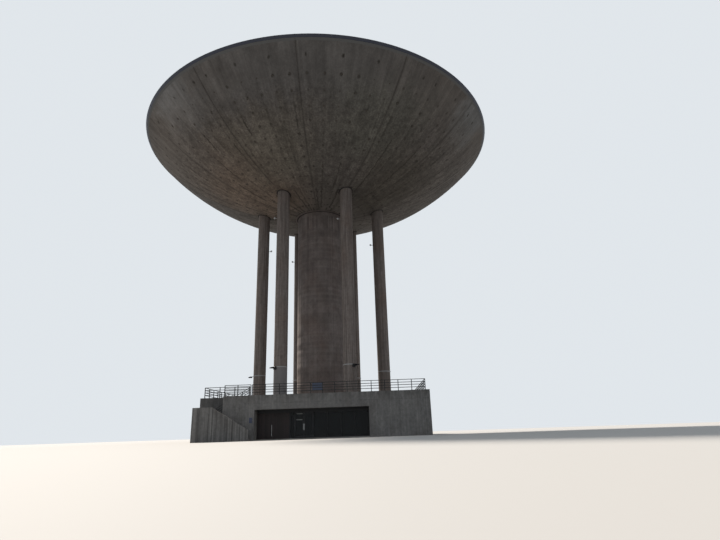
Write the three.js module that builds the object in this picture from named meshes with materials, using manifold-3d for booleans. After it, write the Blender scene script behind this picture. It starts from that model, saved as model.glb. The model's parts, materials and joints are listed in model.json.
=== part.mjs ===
// Concrete water tower: a shallow round tank on six columns and a central shaft,
// standing in a low entrance building with a railed terrace for a roof and a stair up to it.
// Millimetres, +Z up. The origin is on the tower's axis at ground level, and the entrance faces -Y.
// The real tower is over 40 m across, so this is a scale model at 1:2. Every value here is the real
// tower's, and add() brings each piece to scale.
import * as THREE from 'three';
import { mergeVertices } from 'three/addons/utils/BufferGeometryUtils.js';
import Module from 'manifold-3d';

const wasm = await Module();
wasm.setup();

const SCALE = 1 / 2;

// Fits, half as wide on the model
const GAP = 0.6;               // between pieces that rest on each other
const DOOR_CLEAR = 12;         // between a door leaf and what it closes against

// Tank: its underside is a cap of one large sphere
const RIM_RADIUS = 22000;
const RIM_TOP = 36520;
const CAP_RADIUS = 29700;
const CAP_BOTTOM = 26770;
const CAP_CENTRE = CAP_BOTTOM + CAP_RADIUS;
const SHELL_THICK = 400;
const SHELL_TOP = 36280;       // the metal edge band starts here
const BAND_DEPTH = 350;
const BAND_DRIP = 12;
const TANK_PARTS = 6;
const TANK_SIDES = 72;
const ARC_STEPS = 8;

// Roof of the tank: a low cone with a flat crown over the shaft
const CROWN_RADIUS = 3200;
const CROWN_UNDER = 37700;
const CROWN_TOP = 38000;
const ROOF_EDGE_TOP = 36500;
const ROOF_SEAT = 330;
const HATCH_RADIUS = 650;
const HATCH_HEIGHT = 350;

// Shaft and columns
const SHAFT_RADIUS = 2890;
const SHAFT_WALL = 350;
const COLUMN_RADIUS = 717;
const COLUMN_CIRCLE = 7390;
const COLUMN_SIDES = 24;
const COLUMN_NAMES = ['right', 'back_right', 'back_left', 'left', 'front_left', 'front_right'];

// Entrance building
const HALF_WIDTH = 11600;
const HALF_DEPTH = 9500;
const WALL = 300;
const PARAPET_TOP = 4260;
const TERRACE_TOP = 4000;
const TERRACE_UNDER = 3700;
const FLOOR_TOP = 100;

// Outside stair: one flight in front of the wall up to a landing, one behind it up to the terrace
const STAIR_LEFT = -11150;
const STAIR_TURN = -9370;      // edge of the landing, where both flights meet it
const LANDING_TOP = 2160;
const LANDING_THICK = 250;
const FLIGHT_WIDTH = 1400;
const FLIGHT_WAIST = 250;
const TREAD = 285;
const LOWER_RISERS = 13;
const UPPER_RISERS = 11;
const STAIR_WALL = 200;
const STAIR_GUARD = 990;       // the stair's parapet over the line of its nosings
const STAIR_GUARD_END = -5750;
const MIDDLE_WALL_LEFT = -8740; // from here the wall between the flights rises to its full height
const HANDRAIL_HEIGHTS = [900, 675, 450, 225];
const HANDRAIL_TREADS = [2, 5, 8];
const HANDRAIL_OFF = 100;      // from the wall between the flights
const HANDRAIL_FOOT = -9430;
const HANDRAIL_HEAD = -6250;

// Entrance recess and the screen of doors and glass at its back
const RECESS_HALF = 5600;
const BAND_UNDER = 2870;
const SOFFIT_TOP = 2950;
const SCREEN_FRONT = -8300;
const SCREEN_THICK = 120;
const SCREEN_BACK = SCREEN_FRONT + SCREEN_THICK;
const DOOR_HEAD = 2550;
const POST_LEFT = -2360;       // post between the boarded doors and the glass
const POST_WIDTH = 120;
const MULLION = 60;
const ENTRY_LEFT = -1820;      // clear opening of the glazed doors
const ENTRY_RIGHT = 20;
const SILL_TOP = 200;
const GLASS_MULLIONS = [1400, 2760, 4120];
const GLASS_THICK = 12;

// Door leaves
const LEAF_FRONT = SCREEN_FRONT + 12;
const LEAF_BOTTOM = FLOOR_TOP + DOOR_CLEAR;
const LEAF_TOP = DOOR_HEAD - DOOR_CLEAR;
const BARREL = 15;
const BARREL_CLEAR = 2;
const BOARD_THICK = 60;
const LEAF_THICK = 50;
const STILE = 80;
const KICK_RAIL = 200;
const PULL_RADIUS = 17;
const PULL_OFF = 55;           // from the leaf's face to the middle of the bar
const PULL_ARM = 20;
const PULL_ARM_INSET = 120;
const BOARDED_PULL = { inset: 100, bottom: 350, top: 1450 };
const ENTRANCE_PULL = { bottom: 850, top: 1450 };

// Railing
const RAIL_TOPS = [5325, 5065, 4825, 4570];
const RAIL_HEIGHT = 55;
const RAIL_DEPTH = 40;
const POST_SIZE = 70;
const RAIL_INSET = 150;
const SIDE_RAIL = 11200;
const FRONT_RAIL_LEFT = -5900;
const FRONT_POSTS = [-5900, -4600, -3200, -1660, -1500, -100, 1100, 2300, 3500, 4700, 5900];
const STAIR_RAIL = [-8650, -6050];
const POST_SPACING = 1450;

// Lamps on straps round three columns, and a board on the railing. The turn of a lamp's arm is in
// degrees from the column's left side toward its front. The two in front mirror each other.
const LAMPS = {
  left: { level: 7130, turn: 0 },
  front_left: { level: 7240, turn: 45 },
  front_right: { level: 7240, turn: 135 },
};
const STRAP_THICK = 10;
const STRAP_HEIGHT = 90;
const LAMP_ARM = { length: 280, wide: 40, high: 40 };
const LAMP_HEAD = { over: 120, long: 420, wide: 260, high: 130, drop: 120 };
const BOARD = { left: 60, right: 1050, bottom: 4560, top: 5250, thick: 20 };

// Colours of the real surfaces
const FINISH = {
  concrete: { color: 0x6d665f, roughness: 0.9, metalness: 0 },
  shell: { color: 0x4c4844, roughness: 0.92, metalness: 0 },
  roof: { color: 0x55565a, roughness: 0.8, metalness: 0 },
  band: { color: 0x1d222b, roughness: 0.5, metalness: 0.6 },
  steel: { color: 0x23262a, roughness: 0.5, metalness: 0.6 },
  boards: { color: 0x35242a, roughness: 0.7, metalness: 0 },
  pull: { color: 0x9a9c9e, roughness: 0.3, metalness: 0.9 },
  glass: { color: 0x14181c, roughness: 0.08, metalness: 0 },
  board: { color: 0x16233a, roughness: 0.5, metalness: 0.2 },
};

const tower = new THREE.Group();

function add(name, geometry, finish) {
  const model = geometry.clone().scale(SCALE, SCALE, SCALE);
  const mesh = new THREE.Mesh(model, new THREE.MeshStandardMaterial(FINISH[finish]));
  mesh.name = name;
  tower.add(mesh);
  return mesh;
}

// A geometry with only its corners, each one once
function corners(geometry) {
  const bare = geometry.clone();
  bare.deleteAttribute('normal');
  bare.deleteAttribute('uv');
  return mergeVertices(bare, 1e-3);
}

function toSolid(geometry) {
  const bare = corners(geometry);
  return new wasm.Manifold(new wasm.Mesh({
    numProp: 3,
    vertProperties: Float32Array.from(bare.attributes.position.array),
    triVerts: Uint32Array.from(bare.index.array),
  }));
}

function toGeometry(solid) {
  const mesh = solid.getMesh();
  const geometry = new THREE.BufferGeometry();
  geometry.setAttribute('position', new THREE.BufferAttribute(mesh.vertProperties, 3));
  geometry.setIndex(new THREE.BufferAttribute(mesh.triVerts, 1));
  geometry.computeVertexNormals();
  return geometry;
}

function joined(geometries) {
  return toGeometry(geometries.map(toSolid).reduce((whole, next) => whole.add(next)));
}

function box([x0, x1], [y0, y1], [z0, z1]) {
  const geometry = new THREE.BoxGeometry(x1 - x0, y1 - y0, z1 - z0);
  return geometry.translate((x0 + x1) / 2, (y0 + y1) / 2, (z0 + z1) / 2);
}

// A solid turned about Z from a closed outline of [radius, height] corners
function turned(outline, sides) {
  const points = outline.map(([radius, height]) => new THREE.Vector2(radius, height));
  return new THREE.LatheGeometry(points, sides).rotateX(Math.PI / 2);
}

// The corners of a regular outline round a centre, in step with turned()
function roundOutline(x, y, radius, sides) {
  return Array.from({ length: sides }, (_, i) => {
    const turn = (i / sides) * 2 * Math.PI;
    return new THREE.Vector2(x + radius * Math.sin(turn), y - radius * Math.cos(turn));
  });
}

function prism(outline, holes, bottom, top) {
  const shape = new THREE.Shape(outline.map(([x, y]) => new THREE.Vector2(x, y)));
  shape.holes = holes.map((hole) => new THREE.Path(hole));
  const geometry = new THREE.ExtrudeGeometry(shape, { depth: top - bottom, bevelEnabled: false });
  return geometry.translate(0, 0, bottom);
}

// A solid with a side view of [x, height] corners, from one depth to another
function upright(outline, [y0, y1]) {
  return prism(outline, [], 0, y1 - y0).rotateX(Math.PI / 2).translate(0, y1, 0);
}

// Points on a sphere about the cap's centre, from one distance off the axis to another
function capArc(sphere, fromRadius, toRadius) {
  const start = Math.asin(fromRadius / sphere);
  const end = Math.asin(toRadius / sphere);
  return Array.from({ length: ARC_STEPS + 1 }, (_, i) => {
    const angle = start + ((end - start) * i) / ARC_STEPS;
    return [sphere * Math.sin(angle), CAP_CENTRE - sphere * Math.cos(angle)];
  });
}

function capRadiusAt(sphere, height) {
  return Math.sqrt(sphere ** 2 - (CAP_CENTRE - height) ** 2);
}

const SHELL_EDGE = capRadiusAt(CAP_RADIUS, SHELL_TOP);
const SHELL_UNDER = capArc(CAP_RADIUS, SHAFT_RADIUS + GAP, SHELL_EDGE);
const BAND_INNER = RIM_RADIUS - BAND_DEPTH;
const STAIR_HEAD = STAIR_TURN + (UPPER_RISERS - 1) * TREAD;
const STAIR_FOOT = STAIR_TURN + (LOWER_RISERS - 1) * TREAD;
const LOWER_RISE = LANDING_TOP / LOWER_RISERS;
const UPPER_RISE = (TERRACE_TOP - LANDING_TOP) / UPPER_RISERS;
const MIDDLE_WALL = [-HALF_DEPTH, -HALF_DEPTH + WALL];
const WELL_BACK = MIDDLE_WALL[1] + FLIGHT_WIDTH;
const STAIR_FRONT = MIDDLE_WALL[0] - FLIGHT_WIDTH;

// Tank shell, cut into equal parts that each stand over one column
function tankShell() {
  const inner = CAP_RADIUS - SHELL_THICK;
  const inside = capArc(inner, SHAFT_RADIUS + GAP, capRadiusAt(inner, SHELL_TOP)).reverse();
  const outline = [...SHELL_UNDER, ...inside];
  return toSolid(turned([...outline, outline[0]], TANK_SIDES));
}

// A wedge of the plan with its sides half a gap inside the parting lines
function wedge(middle) {
  const half = Math.PI / TANK_PARTS;
  const tip = GAP / 2 / Math.sin(half);
  const reach = 2 * RIM_RADIUS;
  const corner = (angle, distance) => [
    tip * Math.cos(middle) + distance * Math.cos(angle),
    tip * Math.sin(middle) + distance * Math.sin(angle),
  ];
  const outline = [corner(middle, 0), corner(middle - half, reach), corner(middle + half, reach)];
  return toSolid(prism(outline, [], 0, CROWN_TOP));
}

function columnAngle(index) {
  return (index / TANK_PARTS) * 2 * Math.PI;
}

function addTank() {
  const shell = tankShell();
  COLUMN_NAMES.forEach((place, i) => {
    add(`tank_shell_${place}`, toGeometry(shell.intersect(wedge(columnAngle(i)))), 'shell');
  });
  const band = [
    [SHELL_EDGE + BAND_DRIP, SHELL_TOP],
    [RIM_RADIUS, RIM_TOP],
    [BAND_INNER, RIM_TOP],
    [BAND_INNER, SHELL_TOP],
  ];
  add('edge_band', corners(turned([...band, band[0]], TANK_SIDES)), 'band');
  const seatOut = BAND_INNER - GAP;
  const roof = [
    [0, CROWN_UNDER],
    [CROWN_RADIUS, CROWN_UNDER],
    [seatOut - ROOF_SEAT, SHELL_TOP],
    [seatOut, SHELL_TOP],
    [seatOut, ROOF_EDGE_TOP],
    [CROWN_RADIUS, CROWN_TOP],
    [0, CROWN_TOP],
  ];
  add('tank_roof', corners(turned(roof, TANK_SIDES)), 'roof');
  const hatchTop = CROWN_TOP + HATCH_HEIGHT;
  const hatch = [[0, CROWN_TOP], [HATCH_RADIUS, CROWN_TOP], [HATCH_RADIUS, hatchTop], [0, hatchTop]];
  add('roof_hatch', corners(turned(hatch, COLUMN_SIDES)), 'band');
}

function addShaft() {
  const inner = SHAFT_RADIUS - SHAFT_WALL;
  const outline = [[inner, 0], [SHAFT_RADIUS, 0], [SHAFT_RADIUS, CROWN_UNDER], [inner, CROWN_UNDER]];
  add('shaft', corners(turned([...outline, outline[0]], TANK_SIDES)), 'concrete');
}

// Round column, its top cut to the tank's underside
function addColumns() {
  const under = SHELL_UNDER.map(([radius, height]) => [radius, height - 2 * GAP]);
  const tank = [[0, under[0][1]], ...under, [SHELL_EDGE, CROWN_TOP], [0, CROWN_TOP]];
  const cutter = toSolid(turned(tank, TANK_SIDES));
  const intoTank = CAP_BOTTOM + 2 * COLUMN_RADIUS;
  const outline = [[0, 0], [COLUMN_RADIUS, 0], [COLUMN_RADIUS, intoTank], [0, intoTank]];
  COLUMN_NAMES.forEach((place, i) => {
    const [x, y] = columnPlace(i);
    const column = toSolid(turned(outline, COLUMN_SIDES).translate(x, y, 0));
    add(`column_${place}`, toGeometry(column.subtract(cutter)), 'concrete');
  });
}

function columnPlace(index) {
  const angle = columnAngle(index);
  return [COLUMN_CIRCLE * Math.cos(angle), COLUMN_CIRCLE * Math.sin(angle)];
}

// Floor and terrace slabs have a hole for the shaft and for each column
function legHoles() {
  const columns = COLUMN_NAMES.map((_, i) => {
    return roundOutline(...columnPlace(i), COLUMN_RADIUS + GAP, COLUMN_SIDES);
  });
  return [roundOutline(0, 0, SHAFT_RADIUS + GAP, TANK_SIDES), ...columns];
}

// The terrace leaves the stair's well open, and the floor lies inside the walls and in the recess
function addSlabs() {
  const x = HALF_WIDTH - WALL;
  const y = HALF_DEPTH - WALL;
  const well = [STAIR_HEAD + GAP, WELL_BACK + WALL];
  const terrace = [[well[0], -y], [x, -y], [x, y], [-x, y], [-x, well[1]], well];
  add('terrace_slab', prism(terrace, legHoles(), TERRACE_UNDER, TERRACE_TOP), 'concrete');
  const floor = [
    [-x, well[1]],
    [-RECESS_HALF, well[1]],
    [-RECESS_HALF, -HALF_DEPTH],
    [RECESS_HALF, -HALF_DEPTH],
    [RECESS_HALF, -y],
    [x, -y],
    [x, y],
    [-x, y],
  ];
  add('floor_slab', prism(floor, legHoles(), 0, FLOOR_TOP), 'concrete');
}

function addWalls() {
  const inside = HALF_DEPTH - WALL;
  const full = [0, PARAPET_TOP];
  const left = [-HALF_WIDTH, WALL - HALF_WIDTH];
  const right = [HALF_WIDTH - WALL, HALF_WIDTH];
  const betweenFlights = [
    [STAIR_TURN, 0],
    [-RECESS_HALF, 0],
    [-RECESS_HALF, PARAPET_TOP],
    [MIDDLE_WALL_LEFT, PARAPET_TOP],
    [MIDDLE_WALL_LEFT, LANDING_TOP],
    [STAIR_TURN, LANDING_TOP],
  ];
  add('front_wall_left', upright(betweenFlights, MIDDLE_WALL), 'concrete');
  add('front_wall_right', box([RECESS_HALF, HALF_WIDTH], MIDDLE_WALL, full), 'concrete');
  add('front_band', box([-RECESS_HALF, RECESS_HALF], MIDDLE_WALL, [BAND_UNDER, PARAPET_TOP]), 'concrete');
  add('side_wall_left', box(left, [WELL_BACK + WALL, inside], full), 'concrete');
  add('side_wall_right', box(right, [-inside, inside], full), 'concrete');
  add('back_wall', box([-HALF_WIDTH, HALF_WIDTH], [inside, HALF_DEPTH], full), 'concrete');
  const leftCheek = [-RECESS_HALF - WALL, -RECESS_HALF];
  const rightCheek = [RECESS_HALF, RECESS_HALF + WALL];
  add('recess_cheek_left', box(leftCheek, [-inside, WELL_BACK + WALL], [0, TERRACE_UNDER]), 'concrete');
  const rightDepth = [-inside, SCREEN_BACK];
  add('recess_cheek_right', box(rightCheek, rightDepth, [FLOOR_TOP, TERRACE_UNDER]), 'concrete');
  const soffit = [-inside, SCREEN_FRONT];
  add('recess_soffit', box([-RECESS_HALF, RECESS_HALF], soffit, [BAND_UNDER, SOFFIT_TOP]), 'concrete');
}

// Side view of a flight whose first riser stands at a start, its underside level with the slope
function flightOutline(start, bottom, risers, rise, run) {
  const steps = [];
  for (let i = 0; i < risers - 1; i += 1) {
    const x = start + i * run;
    steps.push([x, bottom + i * rise], [x, bottom + (i + 1) * rise]);
  }
  const end = [start + (risers - 1) * run, bottom + (risers - 1) * rise];
  const under = [end[0], end[1] - FLIGHT_WAIST];
  const onGround = [start + (run * FLIGHT_WAIST) / rise, bottom];
  const onLanding = [start, bottom - FLIGHT_WAIST];
  return [...steps, end, under, bottom === 0 ? onGround : onLanding];
}

function addStair() {
  const lower = [STAIR_FRONT + GAP, MIDDLE_WALL[0] - GAP];
  const upper = [MIDDLE_WALL[1] + GAP, WELL_BACK - GAP];
  const down = flightOutline(STAIR_FOOT, 0, LOWER_RISERS, LOWER_RISE, -TREAD);
  const up = flightOutline(STAIR_TURN, LANDING_TOP, UPPER_RISERS, UPPER_RISE, TREAD);
  add('lower_flight', upright(down, lower), 'concrete');
  add('upper_flight', upright(up, upper), 'concrete');
  const landing = [STAIR_LEFT + STAIR_WALL + GAP, STAIR_TURN - GAP];
  const thick = [LANDING_TOP - LANDING_THICK, LANDING_TOP];
  add('stair_landing', box(landing, [lower[0], upper[1]], thick), 'concrete');
  addStairWalls();
}

// The parapet in front is level along the landing and then follows the lower flight down
function addStairWalls() {
  const top = LANDING_TOP + STAIR_GUARD;
  const low = top - ((STAIR_GUARD_END - STAIR_TURN) * LOWER_RISE) / TREAD;
  const guard = [
    [STAIR_LEFT, 0],
    [STAIR_GUARD_END, 0],
    [STAIR_GUARD_END, low],
    [STAIR_TURN, top],
    [STAIR_LEFT, top],
  ];
  add('stair_parapet', upright(guard, [STAIR_FRONT - STAIR_WALL, STAIR_FRONT]), 'concrete');
  const end = [STAIR_LEFT, STAIR_LEFT + STAIR_WALL];
  add('stair_end_wall', box(end, [STAIR_FRONT + GAP, WELL_BACK - GAP], [0, top]), 'concrete');
  const head = STAIR_HEAD + GAP;
  const back = [
    [-HALF_WIDTH, 0],
    [-RECESS_HALF - WALL - GAP, 0],
    [-RECESS_HALF - WALL - GAP, TERRACE_UNDER - GAP],
    [head, TERRACE_UNDER - GAP],
    [head, PARAPET_TOP],
    [-HALF_WIDTH, PARAPET_TOP],
  ];
  add('stair_back_wall', upright(back, [WELL_BACK, WELL_BACK + WALL - GAP]), 'concrete');
}

// Sloping rails beside the upper flight, on posts from the landing, three treads and the terrace
function addHandrail() {
  const slope = UPPER_RISE / TREAD;
  const nosing = (x) => LANDING_TOP + UPPER_RISE + (x - STAIR_TURN) * slope;
  const y = MIDDLE_WALL[1] + HANDRAIL_OFF;
  const deep = [y - RAIL_DEPTH / 2, y + RAIL_DEPTH / 2];
  const rails = HANDRAIL_HEIGHTS.map((height) => {
    const ends = [HANDRAIL_FOOT, HANDRAIL_HEAD].map((x) => [x, nosing(x) + height]);
    const under = ends.map(([x, z]) => [x, z - RAIL_HEIGHT]);
    return upright([...ends, under[1], under[0]], deep);
  });
  const feet = [
    [HANDRAIL_FOOT, LANDING_TOP],
    ...HANDRAIL_TREADS.map((i) => [STAIR_TURN + (i + 0.5) * TREAD, LANDING_TOP + (i + 1) * UPPER_RISE]),
    [HANDRAIL_HEAD, TERRACE_TOP],
  ];
  const half = POST_SIZE / 2;
  const posts = feet.map(([x, foot]) => {
    const top = nosing(x) + HANDRAIL_HEIGHTS[0] - RAIL_HEIGHT / 2;
    return box([x - half, x + half], [y - half, y + half], [foot + GAP, top]);
  });
  add('stair_handrail', joined([...rails, ...posts]), 'steel');
}

// Screen at the back of the recess: a head over all of it, then posts, mullions and fixed glass
function addScreen() {
  const deep = [SCREEN_FRONT, SCREEN_BACK];
  const tall = [FLOOR_TOP, DOOR_HEAD];
  add('screen_head', box([-RECESS_HALF, RECESS_HALF], deep, [DOOR_HEAD, TERRACE_UNDER]), 'steel');
  const sideLeft = POST_LEFT + POST_WIDTH;
  const sideRight = ENTRY_LEFT - MULLION;
  add('sidelight_frame', joined([
    box([POST_LEFT, sideLeft], deep, tall),
    box([sideRight, ENTRY_LEFT], deep, tall),
    box([POST_LEFT, ENTRY_LEFT], deep, [FLOOR_TOP, SILL_TOP]),
  ]), 'steel');
  const mullions = [ENTRY_RIGHT, ...GLASS_MULLIONS, RECESS_HALF - MULLION];
  add('glazing_frame', joined([
    ...mullions.map((x) => box([x, x + MULLION], deep, tall)),
    box([ENTRY_RIGHT, RECESS_HALF], deep, [FLOOR_TOP, SILL_TOP]),
    box([ENTRY_RIGHT, RECESS_HALF], deep, [DOOR_HEAD - MULLION, DOOR_HEAD]),
  ]), 'steel');
  addFixedGlass(sideLeft, sideRight);
}

// Glass lies against the back of its frame; one sheet closes all the panes right of the doors
function addFixedGlass(sideLeft, sideRight) {
  const behind = [SCREEN_BACK, SCREEN_BACK + GLASS_THICK];
  const tall = [SILL_TOP - MULLION, DOOR_HEAD - MULLION];
  const lap = MULLION / 2;
  add('sidelight_glass', box([sideLeft - lap, sideRight + lap], behind, tall), 'glass');
  add('fixed_glass', box([ENTRY_RIGHT + lap, RECESS_HALF - lap], behind, tall), 'glass');
}

// A leaf's round hinge edge stands on the floor and turns about its own middle
function hingeBarrel(x) {
  const height = LEAF_TOP - FLOOR_TOP - GAP;
  const barrel = new THREE.CylinderGeometry(BARREL, BARREL, height, 16).rotateX(Math.PI / 2);
  return barrel.translate(x, LEAF_FRONT, FLOOR_TOP + GAP + height / 2);
}

// Hinge axes and leaf width of a pair of doors in an opening
function pairOfLeaves(left, right) {
  const hinges = [left + BARREL + BARREL_CLEAR, right - BARREL - BARREL_CLEAR];
  return { hinges, width: (hinges[1] - hinges[0] - DOOR_CLEAR) / 2 };
}

function sorted(a, b) {
  return a < b ? [a, b] : [b, a];
}

// A vertical bar held off the leaf's face by two short arms
function pullBar(x, bottom, top) {
  const y = LEAF_FRONT - PULL_OFF;
  const bar = new THREE.CylinderGeometry(PULL_RADIUS, PULL_RADIUS, top - bottom, 12).rotateX(Math.PI / 2);
  const arm = PULL_ARM / 2;
  const arms = [bottom + PULL_ARM_INSET, top - PULL_ARM_INSET].map((z) => {
    return box([x - arm, x + arm], [y, LEAF_FRONT - GAP], [z - arm, z + arm]);
  });
  return joined([bar.translate(x, y, (bottom + top) / 2), ...arms]);
}

function addBoardedDoors() {
  const { hinges, width } = pairOfLeaves(-RECESS_HALF, POST_LEFT);
  hinges.forEach((x, i) => {
    const side = ['left', 'right'][i];
    const free = x + (i === 0 ? width : -width);
    const leaf = box(sorted(x, free), [LEAF_FRONT, LEAF_FRONT + BOARD_THICK], [LEAF_BOTTOM, LEAF_TOP]);
    add(`boarded_door_${side}`, joined([leaf, hingeBarrel(x)]), 'boards');
  });
  const pull = hinges[0] + width - BOARDED_PULL.inset;
  add('boarded_door_pull', pullBar(pull, BOARDED_PULL.bottom, BOARDED_PULL.top), 'pull');
}

function addGlazedDoors() {
  const { hinges, width } = pairOfLeaves(ENTRY_LEFT, ENTRY_RIGHT);
  const deep = [LEAF_FRONT, LEAF_FRONT + LEAF_THICK];
  hinges.forEach((x, i) => {
    const side = ['left', 'right'][i];
    const away = i === 0 ? 1 : -1;
    const free = x + away * width;
    const inner = sorted(x + away * STILE, free - away * STILE);
    add(`entrance_door_${side}`, joined([
      hingeBarrel(x),
      box(sorted(x, x + away * STILE), deep, [LEAF_BOTTOM, LEAF_TOP]),
      box(sorted(free, free - away * STILE), deep, [LEAF_BOTTOM, LEAF_TOP]),
      box(sorted(x, free), deep, [LEAF_BOTTOM, LEAF_BOTTOM + KICK_RAIL]),
      box(sorted(x, free), deep, [LEAF_TOP - STILE, LEAF_TOP]),
    ]), 'steel');
    const pane = [inner[0] + GAP, inner[1] - GAP];
    const middle = LEAF_FRONT + LEAF_THICK / 2;
    const thick = [middle - GLASS_THICK / 2, middle + GLASS_THICK / 2];
    const tall = [LEAF_BOTTOM + KICK_RAIL + GAP, LEAF_TOP - STILE - GAP];
    add(`entrance_glass_${side}`, box(pane, thick, tall), 'glass');
    const pull = free - (away * STILE) / 2;
    add(`entrance_pull_${side}`, pullBar(pull, ENTRANCE_PULL.bottom, ENTRANCE_PULL.top), 'pull');
  });
}

// Railing of flat rails on posts along a path of plan corners, as one welded piece
function railing(path, posts, levels) {
  const pieces = [];
  for (let i = 1; i < path.length; i += 1) {
    const [x0, x1] = sorted(path[i - 1][0], path[i][0]);
    const [y0, y1] = sorted(path[i - 1][1], path[i][1]);
    const half = RAIL_DEPTH / 2;
    for (const top of levels) {
      pieces.push(box([x0 - half, x1 + half], [y0 - half, y1 + half], [top - RAIL_HEIGHT, top]));
    }
  }
  const half = POST_SIZE / 2;
  for (const [x, y, foot] of posts) {
    pieces.push(box([x - half, x + half], [y - half, y + half], [foot, levels[0] - RAIL_HEIGHT / 2]));
  }
  return joined(pieces);
}

// Posts at about the usual spacing from one corner to the next, the last corner left out
function postsAlong([x0, y0], [x1, y1], foot) {
  const bays = Math.round(Math.hypot(x1 - x0, y1 - y0) / POST_SPACING);
  return Array.from({ length: bays }, (_, i) => {
    return [x0 + ((x1 - x0) * i) / bays, y0 + ((y1 - y0) * i) / bays, foot];
  });
}

function addRailings() {
  const front = -HALF_DEPTH + RAIL_INSET;
  const back = HALF_DEPTH - RAIL_INSET;
  const frontEnds = [[FRONT_RAIL_LEFT, front], [SIDE_RAIL, front]];
  const frontPosts = [
    ...FRONT_POSTS.map((x) => [x, front, PARAPET_TOP]),
    ...postsAlong([FRONT_POSTS.at(-1), front], frontEnds[1], PARAPET_TOP).slice(1),
    [...frontEnds[1], PARAPET_TOP],
  ];
  add('railing_front', railing(frontEnds, frontPosts, RAIL_TOPS), 'steel');
  const stair = STAIR_RAIL.map((x) => [x, front]);
  const stairPosts = [...postsAlong(...stair, PARAPET_TOP), [...stair[1], PARAPET_TOP]];
  add('railing_stair', railing(stair, stairPosts, RAIL_TOPS), 'steel');
  const well = WELL_BACK + RAIL_INSET;
  const left = [[STAIR_HEAD - POST_SIZE, well], [-SIDE_RAIL, well], [-SIDE_RAIL, back]];
  const leftPosts = [
    ...postsAlong(left[0], left[1], PARAPET_TOP),
    [...left[1], PARAPET_TOP],
    ...postsAlong(left[1], left[2], TERRACE_TOP).slice(1),
    [...left[2], PARAPET_TOP],
  ];
  add('railing_left', railing(left, leftPosts, RAIL_TOPS), 'steel');
  const right = [[SIDE_RAIL, front + 2 * POST_SIZE], [SIDE_RAIL, back]];
  const rightPosts = [...postsAlong(...right, TERRACE_TOP).slice(1), [...right[1], PARAPET_TOP]];
  add('railing_right', railing(right, rightPosts, RAIL_TOPS), 'steel');
  const reach = SIDE_RAIL - 2 * POST_SIZE;
  const backEnds = [[-reach, back], [reach, back]];
  const backPosts = [...postsAlong(...backEnds, PARAPET_TOP), [reach, back, PARAPET_TOP]];
  add('railing_back', railing(backEnds, backPosts, RAIL_TOPS), 'steel');
}

// Lamp on a steel strap round a column: its head hangs from the end of an arm
function addLamps() {
  const inner = COLUMN_RADIUS + GAP;
  const outer = inner + STRAP_THICK;
  const ring = [[inner, 0], [outer, 0], [outer, STRAP_HEIGHT], [inner, STRAP_HEIGHT]];
  const about = (wide) => [-wide / 2, wide / 2];
  const tip = -outer - LAMP_ARM.length;
  const arm = [tip, -inner - STRAP_THICK / 2];
  const head = [tip + LAMP_HEAD.over - LAMP_HEAD.long, tip + LAMP_HEAD.over];
  const hung = [-LAMP_HEAD.drop, LAMP_HEAD.high - LAMP_HEAD.drop];
  for (const [place, { level, turn }] of Object.entries(LAMPS)) {
    const [x, y] = columnPlace(COLUMN_NAMES.indexOf(place));
    const angle = THREE.MathUtils.degToRad(turn);
    const lamp = joined([
      turned([...ring, ring[0]], COLUMN_SIDES),
      box(arm, about(LAMP_ARM.wide), [0, LAMP_ARM.high]).rotateZ(angle),
      box(head, about(LAMP_HEAD.wide), hung).rotateZ(angle),
    ]);
    add(`strap_lamp_${place}`, lamp.translate(x, y, level), 'steel');
  }
}

function addBoard() {
  const y = -HALF_DEPTH + RAIL_INSET + RAIL_DEPTH / 2 + GAP;
  const { left, right, bottom, top, thick } = BOARD;
  add('notice_board', box([left, right], [y, y + thick], [bottom, top]), 'board');
}

addTank();
addShaft();
addColumns();
addSlabs();
addWalls();
addStair();
addHandrail();
addScreen();
addBoardedDoors();
addGlazedDoors();
addRailings();
addLamps();
addBoard();

export default tower;
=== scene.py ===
# %% [markdown]
# A concrete water tower
#
# The object is a shallow round tank that stands on six columns and a round shaft. Its foot is a
# low entrance building with a railed terrace for a roof and a stair at one corner. The solids of
# the tower are loaded first, as a frame that stays where it is. Everything below either gives one
# of them a finish, or puts a finer piece in its place.
#
# The real tower is 44 metres across, and the part is a scale model of it at 1:2. Every value
# below is in metres of the real tower, and each thing is brought to scale where it is made.

# %% Load the solids and keep their box
import json
import math
import random

import bmesh
import bpy
import numpy as np
from mathutils import Matrix, Vector


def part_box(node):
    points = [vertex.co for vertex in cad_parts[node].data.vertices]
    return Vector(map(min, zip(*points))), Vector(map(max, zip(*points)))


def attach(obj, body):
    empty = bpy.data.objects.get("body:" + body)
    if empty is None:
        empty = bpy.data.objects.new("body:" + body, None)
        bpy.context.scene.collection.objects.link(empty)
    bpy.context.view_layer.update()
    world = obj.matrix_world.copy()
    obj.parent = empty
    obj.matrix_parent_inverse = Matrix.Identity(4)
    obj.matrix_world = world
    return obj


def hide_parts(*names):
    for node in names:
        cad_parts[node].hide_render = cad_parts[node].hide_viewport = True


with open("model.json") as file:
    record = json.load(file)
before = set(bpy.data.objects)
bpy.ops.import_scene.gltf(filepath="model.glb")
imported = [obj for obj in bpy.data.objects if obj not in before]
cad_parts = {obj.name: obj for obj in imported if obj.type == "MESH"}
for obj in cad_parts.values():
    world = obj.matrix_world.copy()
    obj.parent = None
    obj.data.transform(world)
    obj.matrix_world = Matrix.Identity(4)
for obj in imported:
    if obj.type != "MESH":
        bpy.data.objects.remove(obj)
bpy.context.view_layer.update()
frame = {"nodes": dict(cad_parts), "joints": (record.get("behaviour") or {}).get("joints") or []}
SCALE = 0.5


def solid_box(node):
    """The box of a solid, in metres of the real tower."""
    low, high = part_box(node)
    return low / SCALE, high / SCALE


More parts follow.
